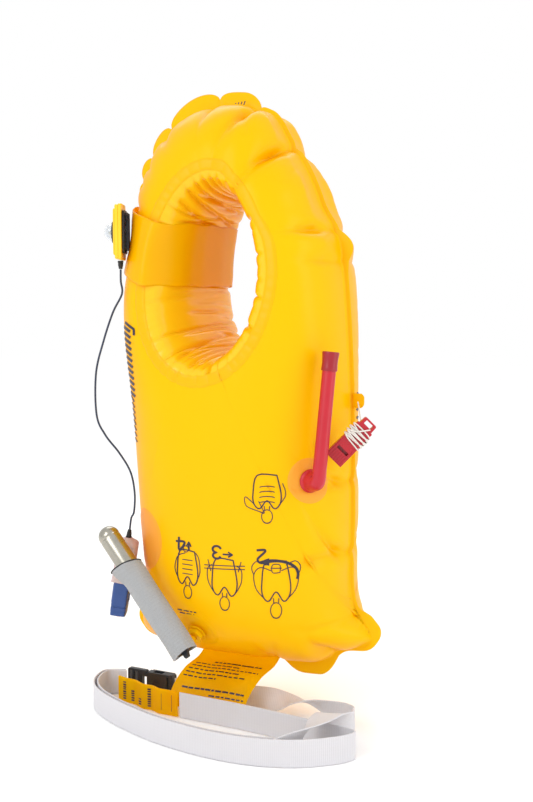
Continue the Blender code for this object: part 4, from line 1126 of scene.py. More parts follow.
def strap(name, node, route, body, mat, seed, wide=WEB_WIDE, thick=0.0013, sway=0.0005):
    """Webbing on edge along a route of (x, y) or (x, y, height, roll); returns the piece and its length."""
    full = [tuple(p) + ((wide / 2, 0.0) if len(p) == 2 else ()) for p in route]
    points = arr(catmull([(x, y, FLOOR + height) for x, y, height, _ in full], 16))
    rolls = arr(catmull([(p[3], 0.0, 0.0) for p in full], 16))[:, 0]
    reach = running_length(points)
    count = max(6, round(reach[-1] / 0.0022) + 1)
    want = np.linspace(0.0, reach[-1], count)
    path = np.stack([np.interp(want, reach, points[:, k]) for k in range(3)], 1)
    roll = np.interp(want, reach, rolls)
    low = np.abs(wide * np.cos(roll)) / 2 + np.abs(thick * np.sin(roll)) / 2
    path[:, 2] = np.maximum(path[:, 2], FLOOR + low)
    rng = random.Random(seed)
    waves = [(rng.uniform(0.03, 0.09), rng.uniform(0, 6.28)) for _ in range(3)]
    wander = sum(np.sin(want / w + ph) for w, ph in waves) * sway / 3 * np.sin(math.pi * want / reach[-1])
    tangent = np.gradient(path, axis=0)
    tangent /= np.linalg.norm(tangent, axis=1, keepdims=True)
    level = np.cross(tangent, (0.0, 0.0, 1.0))
    level /= np.linalg.norm(level, axis=1, keepdims=True)
    upright = np.cross(level, tangent)
    across = upright * np.cos(roll)[:, None] + level * np.sin(roll)[:, None]
    through = np.cross(tangent, across)
    path = path + through * wander[:, None]
    cross = [(-1.0, -0.30), (-0.985, -0.48), (-0.93, -0.5)] + [(t, -0.5) for t in np.linspace(-0.8, 0.8, 9)]
    cross += [(0.93, -0.5), (0.985, -0.48), (1.0, -0.30)]
    cross += [(-a, -b) for a, b in cross]
    grid = np.stack([path + across * a * wide / 2 + through * b * thick for a, b in cross], 1)
    rows, columns = grid.shape[:2]
    faces = grid_faces(rows, columns)
    faces += [tuple(range(columns)), tuple(range(rows * columns - 1, (rows - 1) * columns - 1, -1))]
    uvs = [(w, a * wide / 2) for w in want for a, _ in cross]
    piece = mesh_piece(name, world(grid.reshape(-1, 3)), faces, body, mat, uvs, 50.0)
    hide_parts(node)
    return piece, float(reach[-1])


def make_belt(web, label, ink):
    start = BUCKLE - BUCKLE_ALONG * 0.0302
    outer = [(start.x - 0.0018, start.y + 0.0016)] + LEFT_LOOP + FRONT_RUN
    outer += [(0.1549, -0.0975), (0.1553, -0.0890), (0.1466, -0.0850), (0.1245, -0.0825), (0.0774, -0.0750),
              (0.0282, -0.0690), (-0.0390, -0.0640)]
    inner = [(start.x + 0.0014, start.y - 0.0024)] + inset(LEFT_LOOP + FRONT_RUN[:6], 0.0040)
    end = inner[-1]
    flat, half_turn, low = math.radians(80.0), math.radians(180.0), WEB_WIDE / 2
    cross = [(end[0] + 0.0030, end[1] + 0.0010, low, 0.0), (0.1120, -0.1190, 0.0200, math.radians(25.0)),
             (0.1230, -0.0980, 0.0320, flat), (0.1290, -0.0780, 0.0330, flat),
             (0.1330, -0.0580, 0.0200, math.radians(30.0)), (0.1345, -0.0420, low, 0.0),
             (0.1320, -0.0300, low, 0.0), (0.1196, -0.0231, low, 0.0)]
    rear = [(0.1200, -0.0232, low, half_turn), (0.1050, -0.0200, 0.0140, math.radians(158.0)),
            (0.0850, -0.0185, 0.0175, math.radians(125.0)), (0.0640, -0.0210, 0.0190, math.radians(88.0)),
            (0.0470, -0.0255, 0.0180, math.radians(48.0)), (0.0250, -0.0270, 0.0166, math.radians(12.0)),
            (-0.0030, -0.0274, 0.0166, 0.0), (-0.0360, -0.0277, 0.0147, 0.0)]
    bar = BUCKLE + BUCKLE_ALONG * 0.0305
    lead = [(-0.0375, -0.0277, 0.0143, 0.0), (-0.0500, -0.0280, 0.0143, 0.0), (bar.x, bar.y, 0.0143, 0.0)]
    tab = [(-0.0420, -0.0638), (-0.0520, -0.0628), (-0.0640, -0.0622), (-0.0740, -0.0574), (-0.0860, -0.0566),
           (-0.0980, -0.0500), (-0.1100, -0.0478), (-0.1215, -0.0440)]
    runs = [("strap_free_end", "belt_free_end", outer, 1),
            ("strap_front_layer", "belt_front_layer", inner, 2),
            ("strap_crossing", "belt_crossing", cross, 3), ("strap_rear_run", "belt_rear_run", rear, 4)]
    for name, node, route, seed in runs:
        piece, length = strap(name, node, route, "jacket", web, seed)
    piece, length = strap("strap_lead", "belt_buckle_lead", lead, None, web, 5,
                          wide=LEAD_WIDE, sway=0.0)
    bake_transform(piece)
    piece, length = strap("pull_tab", "belt_pull_tab", tab, "jacket", label, 6, thick=0.0022)
    faces = [tuple(f.vertices) for f in piece.data.polygons]
    make_tab_print(ink, BVHTree.FromPolygons([v.co.copy() for v in piece.data.vertices], faces))


FLAP_LINE = [(0.0034, -0.0016, 0.0445), (0.0036, -0.0140, 0.0380), (0.0040, -0.0280, 0.0345),
             (0.0040, -0.0370, 0.0310), (0.0040, -0.0480, 0.0220), (0.0040, -0.0570, 0.0100),
             (0.0040, -0.0605, -0.0010)]
FLAP_WIDE = 0.0855
FLAP_PATH = smooth_path(FLAP_LINE, 0.0015)
FLAP_REACH = running_length(FLAP_PATH)


def flap_point(u, v):
    """Label flap's front side: u across from its middle, v down from its sewn edge, both in metres."""
    def line_at(reach):
        reach = min(max(reach, 0.0), FLAP_REACH[-1])
        return Vector([float(np.interp(reach, FLAP_REACH, FLAP_PATH[:, k])) for k in range(3)])
    down = (line_at(v + 0.001) - line_at(v - 0.001)).normalized()
    out = Vector((1.0, 0.0, 0.0)).cross(down).normalized()
    if out.y > 0:
        out = -out
    low = float(smoothstep(v / FLAP_REACH[-1]))
    ripple = 0.0009 * math.sin(u * 95.0 + 0.6) * low + 0.0006 * math.sin(u * 210.0 + v * 60.0) * low
    curl = 0.0012 * float(smoothstep((abs(u) / (FLAP_WIDE / 2) - 0.8) / 0.2)) * low
    aside = Vector((u * (1.0 - 0.03 * low) - 0.012 * low - 0.004, 0.0, 0.0))
    return line_at(v) + aside + out * (ripple + curl), out


def make_flap(label):
    rows, columns = 48, 70
    length = float(FLAP_REACH[-1])
    grid = np.array([[tuple(flap_point(FLAP_WIDE * (c / (columns - 1) - 0.5), length * r / (rows - 1))[0])
                      for c in range(columns)] for r in range(rows)])
    piece = grid_piece("hanging_label", world(grid), "jacket", label, wrap=False,
                       thickness=SHEET)
    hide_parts("label_flap")


# ---- cords ----
LIGHT_CENTRE = SIDE * -0.1195 + FACE * 0.024 + UP * 0.4675
LIGHT_OUT = -SIDE
BATTERY_TILT = math.radians(8.0)
BATTERY_CENTRE = SIDE * -0.1195 + FACE * 0.018 + UP * 0.127
CABLE_BENDS = [(-0.1175, 0.4080), (-0.1265, 0.3900), (-0.1360, 0.3620), (-0.1438, 0.3300), (-0.1436, 0.2890),
               (-0.1350, 0.2690), (-0.1220, 0.2520), (-0.1110, 0.2330), (-0.1070, 0.2120), (-0.1078, 0.1930)]
TETHER_EYE = Vector((0.1245, -0.0048, 0.3050))
WHISTLE_CENTRE = SIDE * 0.1027 + FACE * 0.095 + UP * 0.2725
WHISTLE_ALONG = (SIDE + UP).normalized()
WHISTLE_ACROSS = FACE.cross(WHISTLE_ALONG).normalized()


def battery_axes():
    """Across, front and down of the battery, which hangs a little aslant."""
    down = (-UP * math.cos(BATTERY_TILT) - SIDE * math.sin(BATTERY_TILT)).normalized()
    return FACE.cross(down).normalized(), FACE, down


BOOT_LONG = 0.008                            # of the rubber boot on each end of the cable
LIGHT_END = LIGHT_CENTRE - UP * (0.027 + GAP) - LIGHT_OUT * 0.001
BATTERY_END = BATTERY_CENTRE - battery_axes()[2] * (0.039 + GAP)


def make_cable(mat):
    top = LIGHT_END - UP * BOOT_LONG
    up = -battery_axes()[2]
    bottom = BATTERY_END + up * BOOT_LONG
    out = top - SIDE * top.dot(SIDE) - UP * top.z
    route = [top - UP * GAP, top - UP * 0.012] + [SIDE * s + out + UP * z for s, z in CABLE_BENDS]
    route += [bottom + up * 0.012, bottom + up * GAP]
    path = world(smooth_path(route, 0.0030))
    piece = tube_piece("lamp_cable", path, 0.0010, "jacket", mat, 16)
    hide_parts("light_cable")


def make_lanyard(mat):
    """Whistle cord: from the eyelet tab, wound round the whistle, knotted through its slot."""
    along, across, c = WHISTLE_ALONG, WHISTLE_ACROSS, WHISTLE_CENTRE
    end = c + along * 0.0152 - FACE * 0.0055
    points = [TETHER_EYE, TETHER_EYE.lerp(end, 0.25) - UP * 0.001, end.lerp(TETHER_EYE, 0.35) - UP * 0.004,
              end - FACE * 0.0006 + along * -0.0010]
    rng = random.Random(4)
    turns, per = 11, 20
    first, last = 0.0132, -0.0012
    for k in range(turns * per):
        t = k / (turns * per)
        a = math.tau * k / per - math.pi / 2
        layer = 0.0008 if 3 <= k // per < 8 else 0.0
        lay = first + (last - first) * t + 0.0016 * math.sin(a + (k // per) * 2.1)
        half_a, half_b = 0.0102 + layer + rng.uniform(0, 0.0002), 0.0056 + layer
        u, w = half_a * squared(math.cos(a), 2.0 / 3.2), half_b * squared(math.sin(a), 2.0 / 3.2)
        points.append(c + along * lay + across * u + FACE * w)
    for lay, u, w in ((0.0040, 0.0100, 0.0042), (0.0090, 0.0040, 0.0074), (0.0150, -0.0010, 0.0072),
                      (0.0190, -0.0040, 0.0066)):
        points.append(c + along * lay + across * u + FACE * w)
    path = world(smooth_path(points, 0.0009))
    piece = tube_piece("whistle_lanyard", path, 0.00068, "whistle", mat, 10)
    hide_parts("lanyard_hank", "whistle_tether")


# ---- moulded pieces built in layers ----
def oval(half_u, half_v, power, count=40, centre=(0.0, 0.0)):
    """Closed outline between an ellipse (power 2) and a rectangle."""
    turns = [math.tau * k / count for k in range(count)]
    return [(centre[0] + half_u * squared(math.cos(a), 2.0 / power),
             centre[1] + half_v * squared(math.sin(a), 2.0 / power)) for a in turns]


def box_outline(u0, u1, v0, v1):
    return [(u0, v0), (u1, v0), (u1, v1), (u0, v1)]


def layered(name, layers, centre, axes, body, mat, edge):
    """Stacked plates with rounded edges: each layer is (outlines, low, high), and its further outlines are holes."""
    bm = bmesh.new()
    for outlines, low, high in layers:
        edges = []
        for outline in outlines:
            verts = [bm.verts.new(centre + axes[0] * u + axes[1] * v + axes[2] * low) for u, v in outline]
            edges += [bm.edges.new((a, b)) for a, b in zip(verts, verts[1:] + verts[:1])]
        made = bmesh.ops.triangle_fill(bm, use_beauty=True, use_dissolve=True, edges=edges)
        faces = [f for f in made["geom"] if isinstance(f, bmesh.types.BMFace)]
        moved = bmesh.ops.extrude_face_region(bm, geom=faces)["geom"]
        for v in moved:
            if isinstance(v, bmesh.types.BMVert):
                v.co += axes[2] * (high - low)
    bmesh.ops.recalc_face_normals(bm, faces=bm.faces)
    mesh = bpy.data.meshes.new(name)
    bm.to_mesh(mesh)
    bm.free()
    mesh.shade_smooth()
    mesh.set_sharp_from_angle(angle=math.radians(30.0))
    obj = bpy.data.objects.new(name, mesh)
    bpy.context.scene.collection.objects.link(obj)
    bevel = obj.modifiers.new("edges", "BEVEL")
    bevel.width, bevel.segments = edge, 2
    bevel.limit_method, bevel.angle_limit = "ANGLE", math.radians(40.0)
    return finish_piece(obj, body, mat)


def make_whistle(red):
    """Pea-less whistle: a flat shell with a slot for the cord, a blowing gap, a window and ribs."""
    half = [(-0.0250, 0.0096), (-0.0020, 0.0092), (0.0166, 0.0088), (0.0172, 0.0080), (0.0172, 0.0072),
            (0.0240, 0.0068), (0.0250, 0.0058)]
    shell = [(u, -v) for u, v in half] + half[::-1]
    mouth = [(-0.0250, 0.0076), (-0.0105, 0.0076), (-0.0105, -0.0076), (-0.0250, -0.0076)]
    eye = box_outline(0.0192, 0.0232, -0.0043, 0.0043)
    window = box_outline(-0.0140, -0.0110, -0.0062, 0.0062)
    layers = [([shell, eye], -0.0042, -0.0018), ([shell + mouth, eye], -0.0018, 0.0018),
              ([shell, eye, window], 0.0018, 0.0042)]
    for k in range(7):
        v = -0.0078 + 0.0026 * k
        end = -0.0152 if abs(v) < 0.0066 else -0.0030
        for low, high in ((0.0042, 0.0047), (-0.0047, -0.0042)):
            layers.append(([box_outline(-0.0246, end, v - 0.0006, v + 0.0006)], low, high))
    axes = (WHISTLE_ALONG, WHISTLE_ACROSS, FACE)
    piece = layered("whistle_shell", layers, in_row(WHISTLE_CENTRE), axes,
                    "whistle", red, 0.0002)
    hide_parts("whistle_body")


def make_light(yellow, black, clear):
    """Light on the sling: its case, the clip behind it, and the lens in its rim."""
    c = in_row(LIGHT_CENTRE)
    axes = (FACE, UP, LIGHT_OUT)
    layers = [([oval(0.0200, 0.0270, 12.0, 64)], -0.0041, -0.0012),
              ([oval(0.0192, 0.0262, 12.0, 64)], -0.0012, 0.0022),
              ([oval(0.0170, 0.0225, 9.0, 56)], 0.0022, 0.0041)]
    for v in (-0.0242, 0.0242):
        layers.append(([oval(0.0120, 0.0011, 5.0, 24, (0.0, v))], 0.0022, 0.0032))
    piece = layered("light_case", layers, c, axes, "jacket", yellow, 0.0005)
    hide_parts("light_holder")
    layers = [([oval(0.0150, 0.0210, 8.0, 48)], -0.0063, -0.0045)]
    for k in range(5):
        layers.append(([oval(0.0135, 0.0012, 5.0, 20, (0.0, -0.0160 + 0.0080 * k))], -0.0071, -0.0063))
    layers += [([oval(0.0050, 0.0180, 6.0, 40)], -0.0100, -0.0071),
               ([oval(0.0080, 0.0040, 6.0, 30, (0.0, 0.0150))], -0.0085, -0.0071)]
    piece = layered("light_back_clip", layers, c, axes, "jacket", black, 0.0003)
    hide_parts("light_clip")
    face = axis_matrix(c + LIGHT_OUT * (0.0041 + GAP), LIGHT_OUT)
    rim = [(0.0086, 0.0), (0.0106, 0.0), (0.0107, 0.0003), (0.0107, 0.0013), (0.0104, 0.0019),
           (0.0098, 0.0022),
           (0.0090, 0.0022), (0.0086, 0.0018)]
    piece = lathe("lens_rim", rim, face, "jacket", black, 72, closed=True)
    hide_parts("lens_bezel")
    turns = np.linspace(0.0, math.pi / 2, 14)[1:-1]
    dome = [(0.0082, 0.0), (0.0082, 0.0030)]
    dome += [(0.0082 * math.cos(t), 0.0030 + 0.0070 * math.sin(t)) for t in turns]
    dome += [(0.0004, 0.0100), (0.0004, 0.0090)]
    dome += [(0.0072 * math.cos(t), 0.0028 + 0.0062 * math.sin(t)) for t in turns[::-1]] + [(0.0072, 0.0)]
    piece = lathe("lens_cover", dome, face, "jacket", clear, 64, closed=True)
    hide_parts("lens_dome")


def make_boots(rubber):
    """Ribbed boots where the cable leaves the light and enters the battery."""
    neck = [(0.0026, 0.0), (0.0028, 0.0006), (0.0028, 0.0016), (0.0024, 0.0022), (0.0026, 0.0028),
            (0.0024, 0.0036), (0.0025, 0.0044), (0.0022, 0.0054), (0.0020, 0.0066), (0.0017, BOOT_LONG)]
    for end, place, direction in (("light", LIGHT_END, -UP), ("battery", BATTERY_END, -battery_axes()[2])):
        seat = axis_matrix(in_row(place), direction)
        piece = lathe(end + "_cable_boot", neck, seat, "jacket", rubber, 32)
        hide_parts(end + "_gland")


def make_battery(blue):
    """Battery case, open below where the water comes in, with ribs on its narrow sides."""
    bore = oval(0.0065, 0.0125, 12.0, 40)
    wall = oval(0.0080, 0.0140, 8.0, 56)
    layers = [([wall, bore], -0.0180, 0.0280), ([oval(0.0077, 0.0137, 8.0, 56), bore], 0.0280, 0.0294),
              ([wall, bore], 0.0294, 0.0340),
              ([oval(0.0078, 0.0138, 7.0, 56), oval(0.0032, 0.0032, 2.0, 24)], 0.0340, 0.0380)]
    for side in (-1.0, 1.0):
        for k in range(3):
            rib = box_outline(side * 0.0079, side * 0.0084, -0.0080 + 0.0070 * k, -0.0060 + 0.0070 * k)
            layers.append(([rib], 0.0080, 0.0260))
    centre = in_row(BATTERY_CENTRE)
    piece = layered("battery_shell", layers, centre, battery_axes(), "jacket", blue, 0.0004)
    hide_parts("battery_case")


def make_pouch(film):
    """Crumpled film pouch round the upper half of the battery, gathered at its top."""
    across, front, down = battery_axes()
    rows, columns = 46, 110
    grid = np.zeros((rows, columns, 3))
    rng = random.Random(6)
    wrinkles = [(rng.randint(2, 9), rng.uniform(0.0, 6.28), rng.uniform(60.0, 260.0), rng.uniform(0.2, 1.0))
                for _ in range(9)]
    for r in range(rows):
        t = r / (rows - 1)
        v = -0.0395 + 0.0445 * t
        close = 1.0 - 0.72 * (1.0 - float(smoothstep(t / 0.16))) ** 1.4
        for k in range(columns):
            a = math.tau * k / columns
            crumple = sum(w * math.sin(n * a + ph + f * v) for n, ph, f, w in wrinkles) / 9.0
            gather = 0.05 * math.sin(17.0 * a) * (1.0 - close)
            swell = (1.0 + 0.09 * crumple + gather) * close * (1.0 + 0.05 * float(smoothstep((t - 0.8) / 0.2)))
            u = 0.0100 * squared(math.cos(a), 0.5) * swell
            w = 0.0162 * squared(math.sin(a), 0.5) * swell
            drop = v + 0.0012 * math.sin(2.0 * a + 1.0) * t
            grid[r, k] = in_row(BATTERY_CENTRE) + across * u + front * w + down * drop
    piece = grid_piece("pouch_skin", grid, "jacket", film, thickness=SHEET, side=-1.0)
    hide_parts("battery_pouch")


def make_eyelet_tab(film):
    """Tab in the side seam that the whistle's cord is tied to."""
    rows, columns = 14, 12
    grid = np.zeros((rows, columns, 3))
    for r in range(rows):
        for k in range(columns):
            u, v = k / (columns - 1), r / (rows - 1)
            x = 0.1180 + 0.0120 * u * (1.0 - 0.25 * (2.0 * v - 1.0) ** 4)
            y = -0.0022 - 0.0006 * math.sin(math.pi * u) + 0.0008 * (v - 0.5) * u
            grid[r, k] = (x, y, 0.2990 + 0.0140 * v)
    piece = grid_piece("eyelet_tab", world(grid), "jacket", film, wrap=False, thickness=0.0009)
    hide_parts("whistle_tab")


def make_keeper(film):
    """Film loop that keeps the belt against the jacket."""
    rows, columns = 30, 90
    grid = np.zeros((rows, columns, 3))
    outline = even([(u, v, 0.0) for u, v in oval(0.0033, 0.0148, 6.0, 160)], columns, closed=True)
    for r in range(rows):
        t = r / (rows - 1) - 0.5
        for k, (u, v, _) in enumerate(outline):
            wave = 1.0 + 0.05 * math.sin(5.0 * math.tau * k / columns + 40.0 * t)
            high = v * (1.0 - 0.02 * math.cos(9.0 * t))
            grid[r, k] = (-0.0030 + 0.0240 * t, -0.0274 + u * wave, FLOOR + 0.0166 + high)
    piece = grid_piece("belt_keeper", world(grid), "jacket", film, thickness=0.0006, side=-1.0)
    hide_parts("belt_loop")


def make_buckle(black):
    """Side release buckle: the socket, and the insert's frame, whose prongs stay as in the model."""
    axes = (BUCKLE_ALONG, UP, -BUCKLE_SIDE)
    centre = in_row(BUCKLE)
    half = [(-0.0010, 0.0132), (0.0010, BUCKLE_HALF), (0.0270, BUCKLE_HALF), (0.0290, 0.0128)]
    hull = [(u, -v) for u, v in half] + half[::-1]
    eye = box_outline(0.0236, 0.0264, -0.0119, 0.0119)
    thumb = oval(0.0050, 0.0060, 4.0, 28, (0.0120, 0.0))
    layers = [([hull, eye], -0.0055, -0.0034), ([hull, eye], 0.0034, 0.0050),
              ([hull, eye, thumb], 0.0050, 0.0055),
              ([box_outline(0.0202, 0.0290, -BUCKLE_HALF, BUCKLE_HALF), eye], -0.0034, 0.0034)]
    for near, far in ((-0.0010, 0.0055), (0.0165, 0.0204)):
        for low, high in ((-BUCKLE_HALF, -0.0116), (0.0116, BUCKLE_HALF)):
            layers.append(([box_outline(near, far, low, high)], -0.0034, 0.0034))
    shell = layered("buckle_housing", layers, centre, axes, "buckle_socket", black, 0.0005)
    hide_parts("buckle_female")
    half = [(-0.0270, 0.0130), (-0.0255, BUCKLE_HALF), (-0.0045, BUCKLE_HALF), (-0.0030, 0.0130),
            (-0.0030, 0.0079), (-0.0090, 0.0079)]
    notched = [(u, -v) for u, v in half] + half[::-1]
    slots = [box_outline(u, u + 0.0030, -0.0122, 0.0122) for u in (-0.0250, -0.0180)]
    layers = [([notched] + slots, -0.0029, 0.0022)]
    for u in (-0.0200, -0.0120):
        layers.append(([box_outline(u - 0.0008, u + 0.0008, -0.0118, 0.0118)], 0.0022, 0.0030))
    piece = layered("buckle_tongue_frame", layers, centre, axes, "jacket", black, 0.0004)
    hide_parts("buckle_male")


# ---- printing ----
def arc_line(cx, cy, rx, ry, start, stop, count=18):
    """Arc of an ellipse between two angles in degrees."""
    turns = np.linspace(math.radians(start), math.radians(stop), count)
    return [(cx + rx * math.cos(t), cy + ry * math.sin(t)) for t in turns]


def mirrored(lines):
    return lines + [[(-x, y) for x, y in line] for line in lines]


def figure_strokes(kind):
    """Plain outline person with a jacket on, head up, in a drawing one unit tall."""
    jacket = [(-0.19, -0.46), (-0.27, -0.10), (-0.25, 0.10), (-0.14, 0.19), (0.0, 0.03), (0.14, 0.19),
              (0.25, 0.10), (0.27, -0.10), (0.19, -0.46), (-0.19, -0.46)]
    lines = [jacket, arc_line(0.0, 0.34, 0.105, 0.13, 0, 360, 26), arc_line(0.0, 0.40, 0.085, 0.075, 20, 160),
             [(-0.045, 0.22), (-0.05, 0.14)], [(0.045, 0.22), (0.05, 0.14)]]
    if kind == "fasten":
        lines += mirrored([[(-0.25, 0.12), (-0.38, -0.02), (-0.42, -0.24), (-0.30, -0.36), (-0.10, -0.31)],
                           [(-0.42, -0.24), (-0.46, -0.36), (-0.36, -0.46), (-0.19, -0.40)]])
        lines += [[(-0.10, -0.35), (0.10, -0.35)],
                  [(-0.07, -0.28), (-0.07, -0.40), (0.07, -0.40), (0.07, -0.28), (-0.07, -0.28)]]
    elif kind == "tighten":
        lines += mirrored([[(-0.25, 0.12), (-0.36, -0.06), (-0.37, -0.28), (-0.27, -0.36)]])
        lines += [[(-0.44, -0.37), (0.44, -0.34)], [(-0.44, -0.31), (0.44, -0.28)],
                  [(0.30, -0.24), (0.36, -0.44)], [(-0.30, -0.26), (-0.36, -0.44)]]
    elif kind == "pull":
        lines += [[(-0.24, 0.10), (-0.33, -0.08), (-0.30, -0.34), (-0.22, -0.44)],
                  [(0.24, 0.10), (0.34, -0.10), (0.26, -0.34), (0.06, -0.42)],
                  arc_line(0.04, -0.50, 0.07, 0.06, 0, 360, 14)]
        lines += [[(-0.13, -0.02 - 0.09 * k), (0.13, -0.02 - 0.09 * k)] for k in range(4)]
    else:
        lines += [arc_line(0.0, -0.22 + 0.10 * k, 0.15, 0.03, 200, 340, 10) for k in range(4)]
        lines += [[(0.25, 0.10), (0.42, -0.04), (0.40, 0.14), (0.16, 0.24), (0.06, 0.28)],
                  [(0.16, 0.05), (0.05, 0.27)], [(-0.25, 0.10), (-0.36, -0.08), (-0.30, -0.30)]]
    return lines


DIGITS = {"2": [arc_line(0.0, 0.24, 0.26, 0.24, 170, -40, 14) + [(-0.27, -0.48), (0.28, -0.48)]],
          "3": [arc_line(0.0, 0.25, 0.25, 0.23, 160, -90, 12)
                + arc_line(0.0, -0.23, 0.27, 0.25, 90, -160, 12)],
          "4": [[(0.12, -0.48), (0.12, 0.48), (-0.28, -0.18), (0.30, -0.18)]]}


def place_drawing(lines, centre, height, spread=1.0):
    """Drawing turned upside down, as the wearer reads it, and put at a place on the print."""
    u, v = centre
    placed = []
    for line in lines:
        if len(line) > 2:
            line = [(p.x, p.y) for p in catmull([(x, y, 0.0) for x, y in line], 4)]
        placed.append([(u - x * height * spread, v - y * height) for x, y in line])
    return placed


def word_bars(rng, u0, u1, v, height):
    """Row of bars that stand for a line of small print."""
    bars = []
    u = u0
    while u < u1:
        wide = rng.uniform(0.0016, 0.0062)
        bars.append(([(u, v), (min(u + wide, u1), v)], height))
        u += wide + rng.uniform(0.0013, 0.0022) / 0.8
    return bars


def on_front(u, v, least=0.30):
    """Place on the skins straight behind a point of the view plane, unless the skin is too steep there."""
    start = SIDE * u + FACE * 0.3 + UP * v + Vector(STAND)
    point, normal = laid(BOTH_TREE, start, -FACE, 0.0005)
    return point if point and normal.dot(FACE) > least else None


def on_edge(u, v):
    return on_front(u, v, 0.0)


def on_flap(u, v):
    point, out = flap_point(u, v)
    return in_row(point + out * 0.0009)


THIN, TORSO, BOLD = 0.00085, 0.0012, 0.0021              # widths of printed lines
DRAWINGS = [("blow", (0.0240, 0.2187), 0.0480, 1.0), ("pull", (-0.0515, 0.1414), 0.0500, 0.74),
            ("tighten", (-0.0158, 0.1354), 0.0530, 0.82), ("fasten", (0.0325, 0.1330), 0.0590, 0.84)]
STEPS_SHOWN = [("4", (-0.0580, 0.1705)), ("3", (-0.0231, 0.1664)), ("2", (0.0190, 0.1645))]


def front_strokes():
    """The steps of putting the jacket on, with their arrows."""
    strokes = []
    for kind, centre, height, spread in DRAWINGS:
        lines = place_drawing(figure_strokes(kind), centre, height, spread)
        strokes += [(line, TORSO if k == 0 else THIN) for k, line in enumerate(lines)]
    for digit, centre in STEPS_SHOWN:
        strokes += [(line, BOLD) for line in place_drawing(DIGITS[digit], centre, 0.0125, 1.15)]
    strokes += [([(-0.0170, 0.1650), (-0.0085, 0.1650)], 0.0016),
                ([(-0.0120, 0.1672), (-0.0080, 0.1650), (-0.0120, 0.1628)], 0.0014),
                ([(-0.0500, 0.1660), (-0.0500, 0.1730)], 0.0016),
                ([(-0.0520, 0.1695), (-0.0500, 0.1735), (-0.0480, 0.1695)], 0.0014),
                (arc_line(0.0320, 0.1470, 0.0210, 0.0135, -15, 120, 20), 0.0026)]
    strokes += [([(0.0165, 0.1592), (0.0258, 0.1566 + 0.0010 * k)], 0.0010) for k in range(7)]
    for k in range(6):
        u, v = 0.0030 * k - 0.0135, 0.0006 * k + 0.5880
        strokes.append(([(u, v), (u + 0.0012, v + 0.0040)], 0.0010))
    return strokes


def side_strokes():
    """Slanted bars down both edges, in place of the marks there."""
    strokes = []
    for k in range(20):
        z = 0.3770 - 0.0058 * k
        wide, reach, aside = (0.0030, 0.0085, 0.0) if k < 12 else (0.0018, 0.0040, 0.0030)
        u = -0.1175 + 0.00030 * k + aside
        strokes.append(([(u, z), (u + reach, z - 0.0050)], wide))
    strokes.append(([(-0.1135, 0.3800), (-0.1040, 0.3740), (-0.1040, 0.3690)], 0.0026))
    return strokes + [([(0.1120, z), (0.1165, z - 0.0065)], 0.0026) for z in (0.3110, 0.2960, 0.2880, 0.2765)]


def make_print(ink):
    rng = random.Random(12)
    small = word_bars(rng, -0.0620, -0.0440, 0.1040, 0.0012) + word_bars(rng, -0.0600, -0.0460, 0.1010, 0.0012)
    print_strokes("jacket_print", front_strokes() + small, on_front, ink)
    print_strokes("side_print", side_strokes(), on_edge, ink)
    strokes = word_bars(rng, -0.0180, 0.0330, 0.0225, 0.0022)
    ends = ((-0.036, 0.012), (-0.037, 0.036), (-0.038, 0.020), (-0.038, 0.028), (-0.038, -0.002))
    for k, (u0, u1) in enumerate(ends):
        strokes += word_bars(rng, u0, u1, 0.0280 + 0.0046 * k, 0.0014)
    strokes += word_bars(rng, -0.0330, 0.0360, 0.0585, 0.0019) + word_bars(rng, 0.0000, 0.0380, 0.0640, 0.0014)
    print_strokes("label_print", strokes, on_flap, ink)


def make_tab_print(ink, tab_tree):
    """Short words across the pull tab and the stitched block at its sewn end."""
    rng = random.Random(9)

    def on_tab(u, v):
        return laid(tab_tree, in_row((u, -0.12, FLOOR + v)), Vector((0.0, 1.0, 0.0)), 0.0004)[0]

    strokes = []
    for x, top in ((-0.1120, 0.0215), (-0.1010, 0.0150), (-0.0890, 0.0110), (-0.0770, 0.0220)):
        v = 0.0040
        while v < top:
            high = rng.uniform(0.0012, 0.0019)
            strokes.append(([(x - 0.0016, v), (x + 0.0016, v + 0.0003)], high))
            v += high + 0.0009
    for x in (-0.0600, -0.0480):
        strokes.append(([(x, 0.0045), (x, 0.0210)], 0.0004))
    print_strokes("tab_print", strokes, on_tab, ink)


# ---- run ----
make_camera()
make_stage()
FILM_MAT = film_material("film_yellow", (1.0, 0.66, 0.0), (1.0, 0.52, 0.0), 0.32, 0.30, 0.16)
# wall of the neck opening: the skins' film with a paler, yellower colour and glow, painted light that cancels the
# orange shade inside the opening
GUSSET_MAT = film_material("film_gusset_lightened", (1.0, 0.70, 0.01), (1.0, 0.68, 0.01), 0.30, 0.18, 0.5)
WELD_MAT = film_material("film_weld", (1.0, 0.60, 0.0), (1.0, 0.46, 0.0), 0.28, 0.32)
SLING_MAT = film_material("film_sling", (1.0, 0.66, 0.0), (1.0, 0.55, 0.0), 0.40, 0.24)
PATCH_MAT = film_material("film_patch", (1.0, 0.50, 0.045), (1.0, 0.36, 0.02), 0.27, 0.38)
LABEL_MAT = film_material("film_label", (1.0, 0.72, 0.0), (1.0, 0.72, 0.0), 0.72, 0.42)
RED_MAT = plastic_material("rubber_red", (0.50, 0.008, 0.022), 0.34, 260.0, 0.00010, 0.06)
DARK_RED_MAT = plastic_material("rubber_dark_red", (0.32, 0.006, 0.016), 0.30, 260.0, 0.00010, 0.06)
WHISTLE_MAT = plastic_material("plastic_red", (0.46, 0.008, 0.020), 0.30, 500.0, 0.00006, 0.10)
BLACK_MAT = plastic_material("plastic_black", (0.012, 0.014, 0.020), 0.42, 420.0, 0.00010, 0.4)
BLUE_MAT = plastic_material("plastic_blue", (0.020, 0.065, 0.240), 0.32, 420.0, 0.00006, 0.2)
HOLDER_MAT = plastic_material("plastic_yellow", (1.0, 0.58, 0.010), 0.38, 420.0, 0.00006, 0.05)
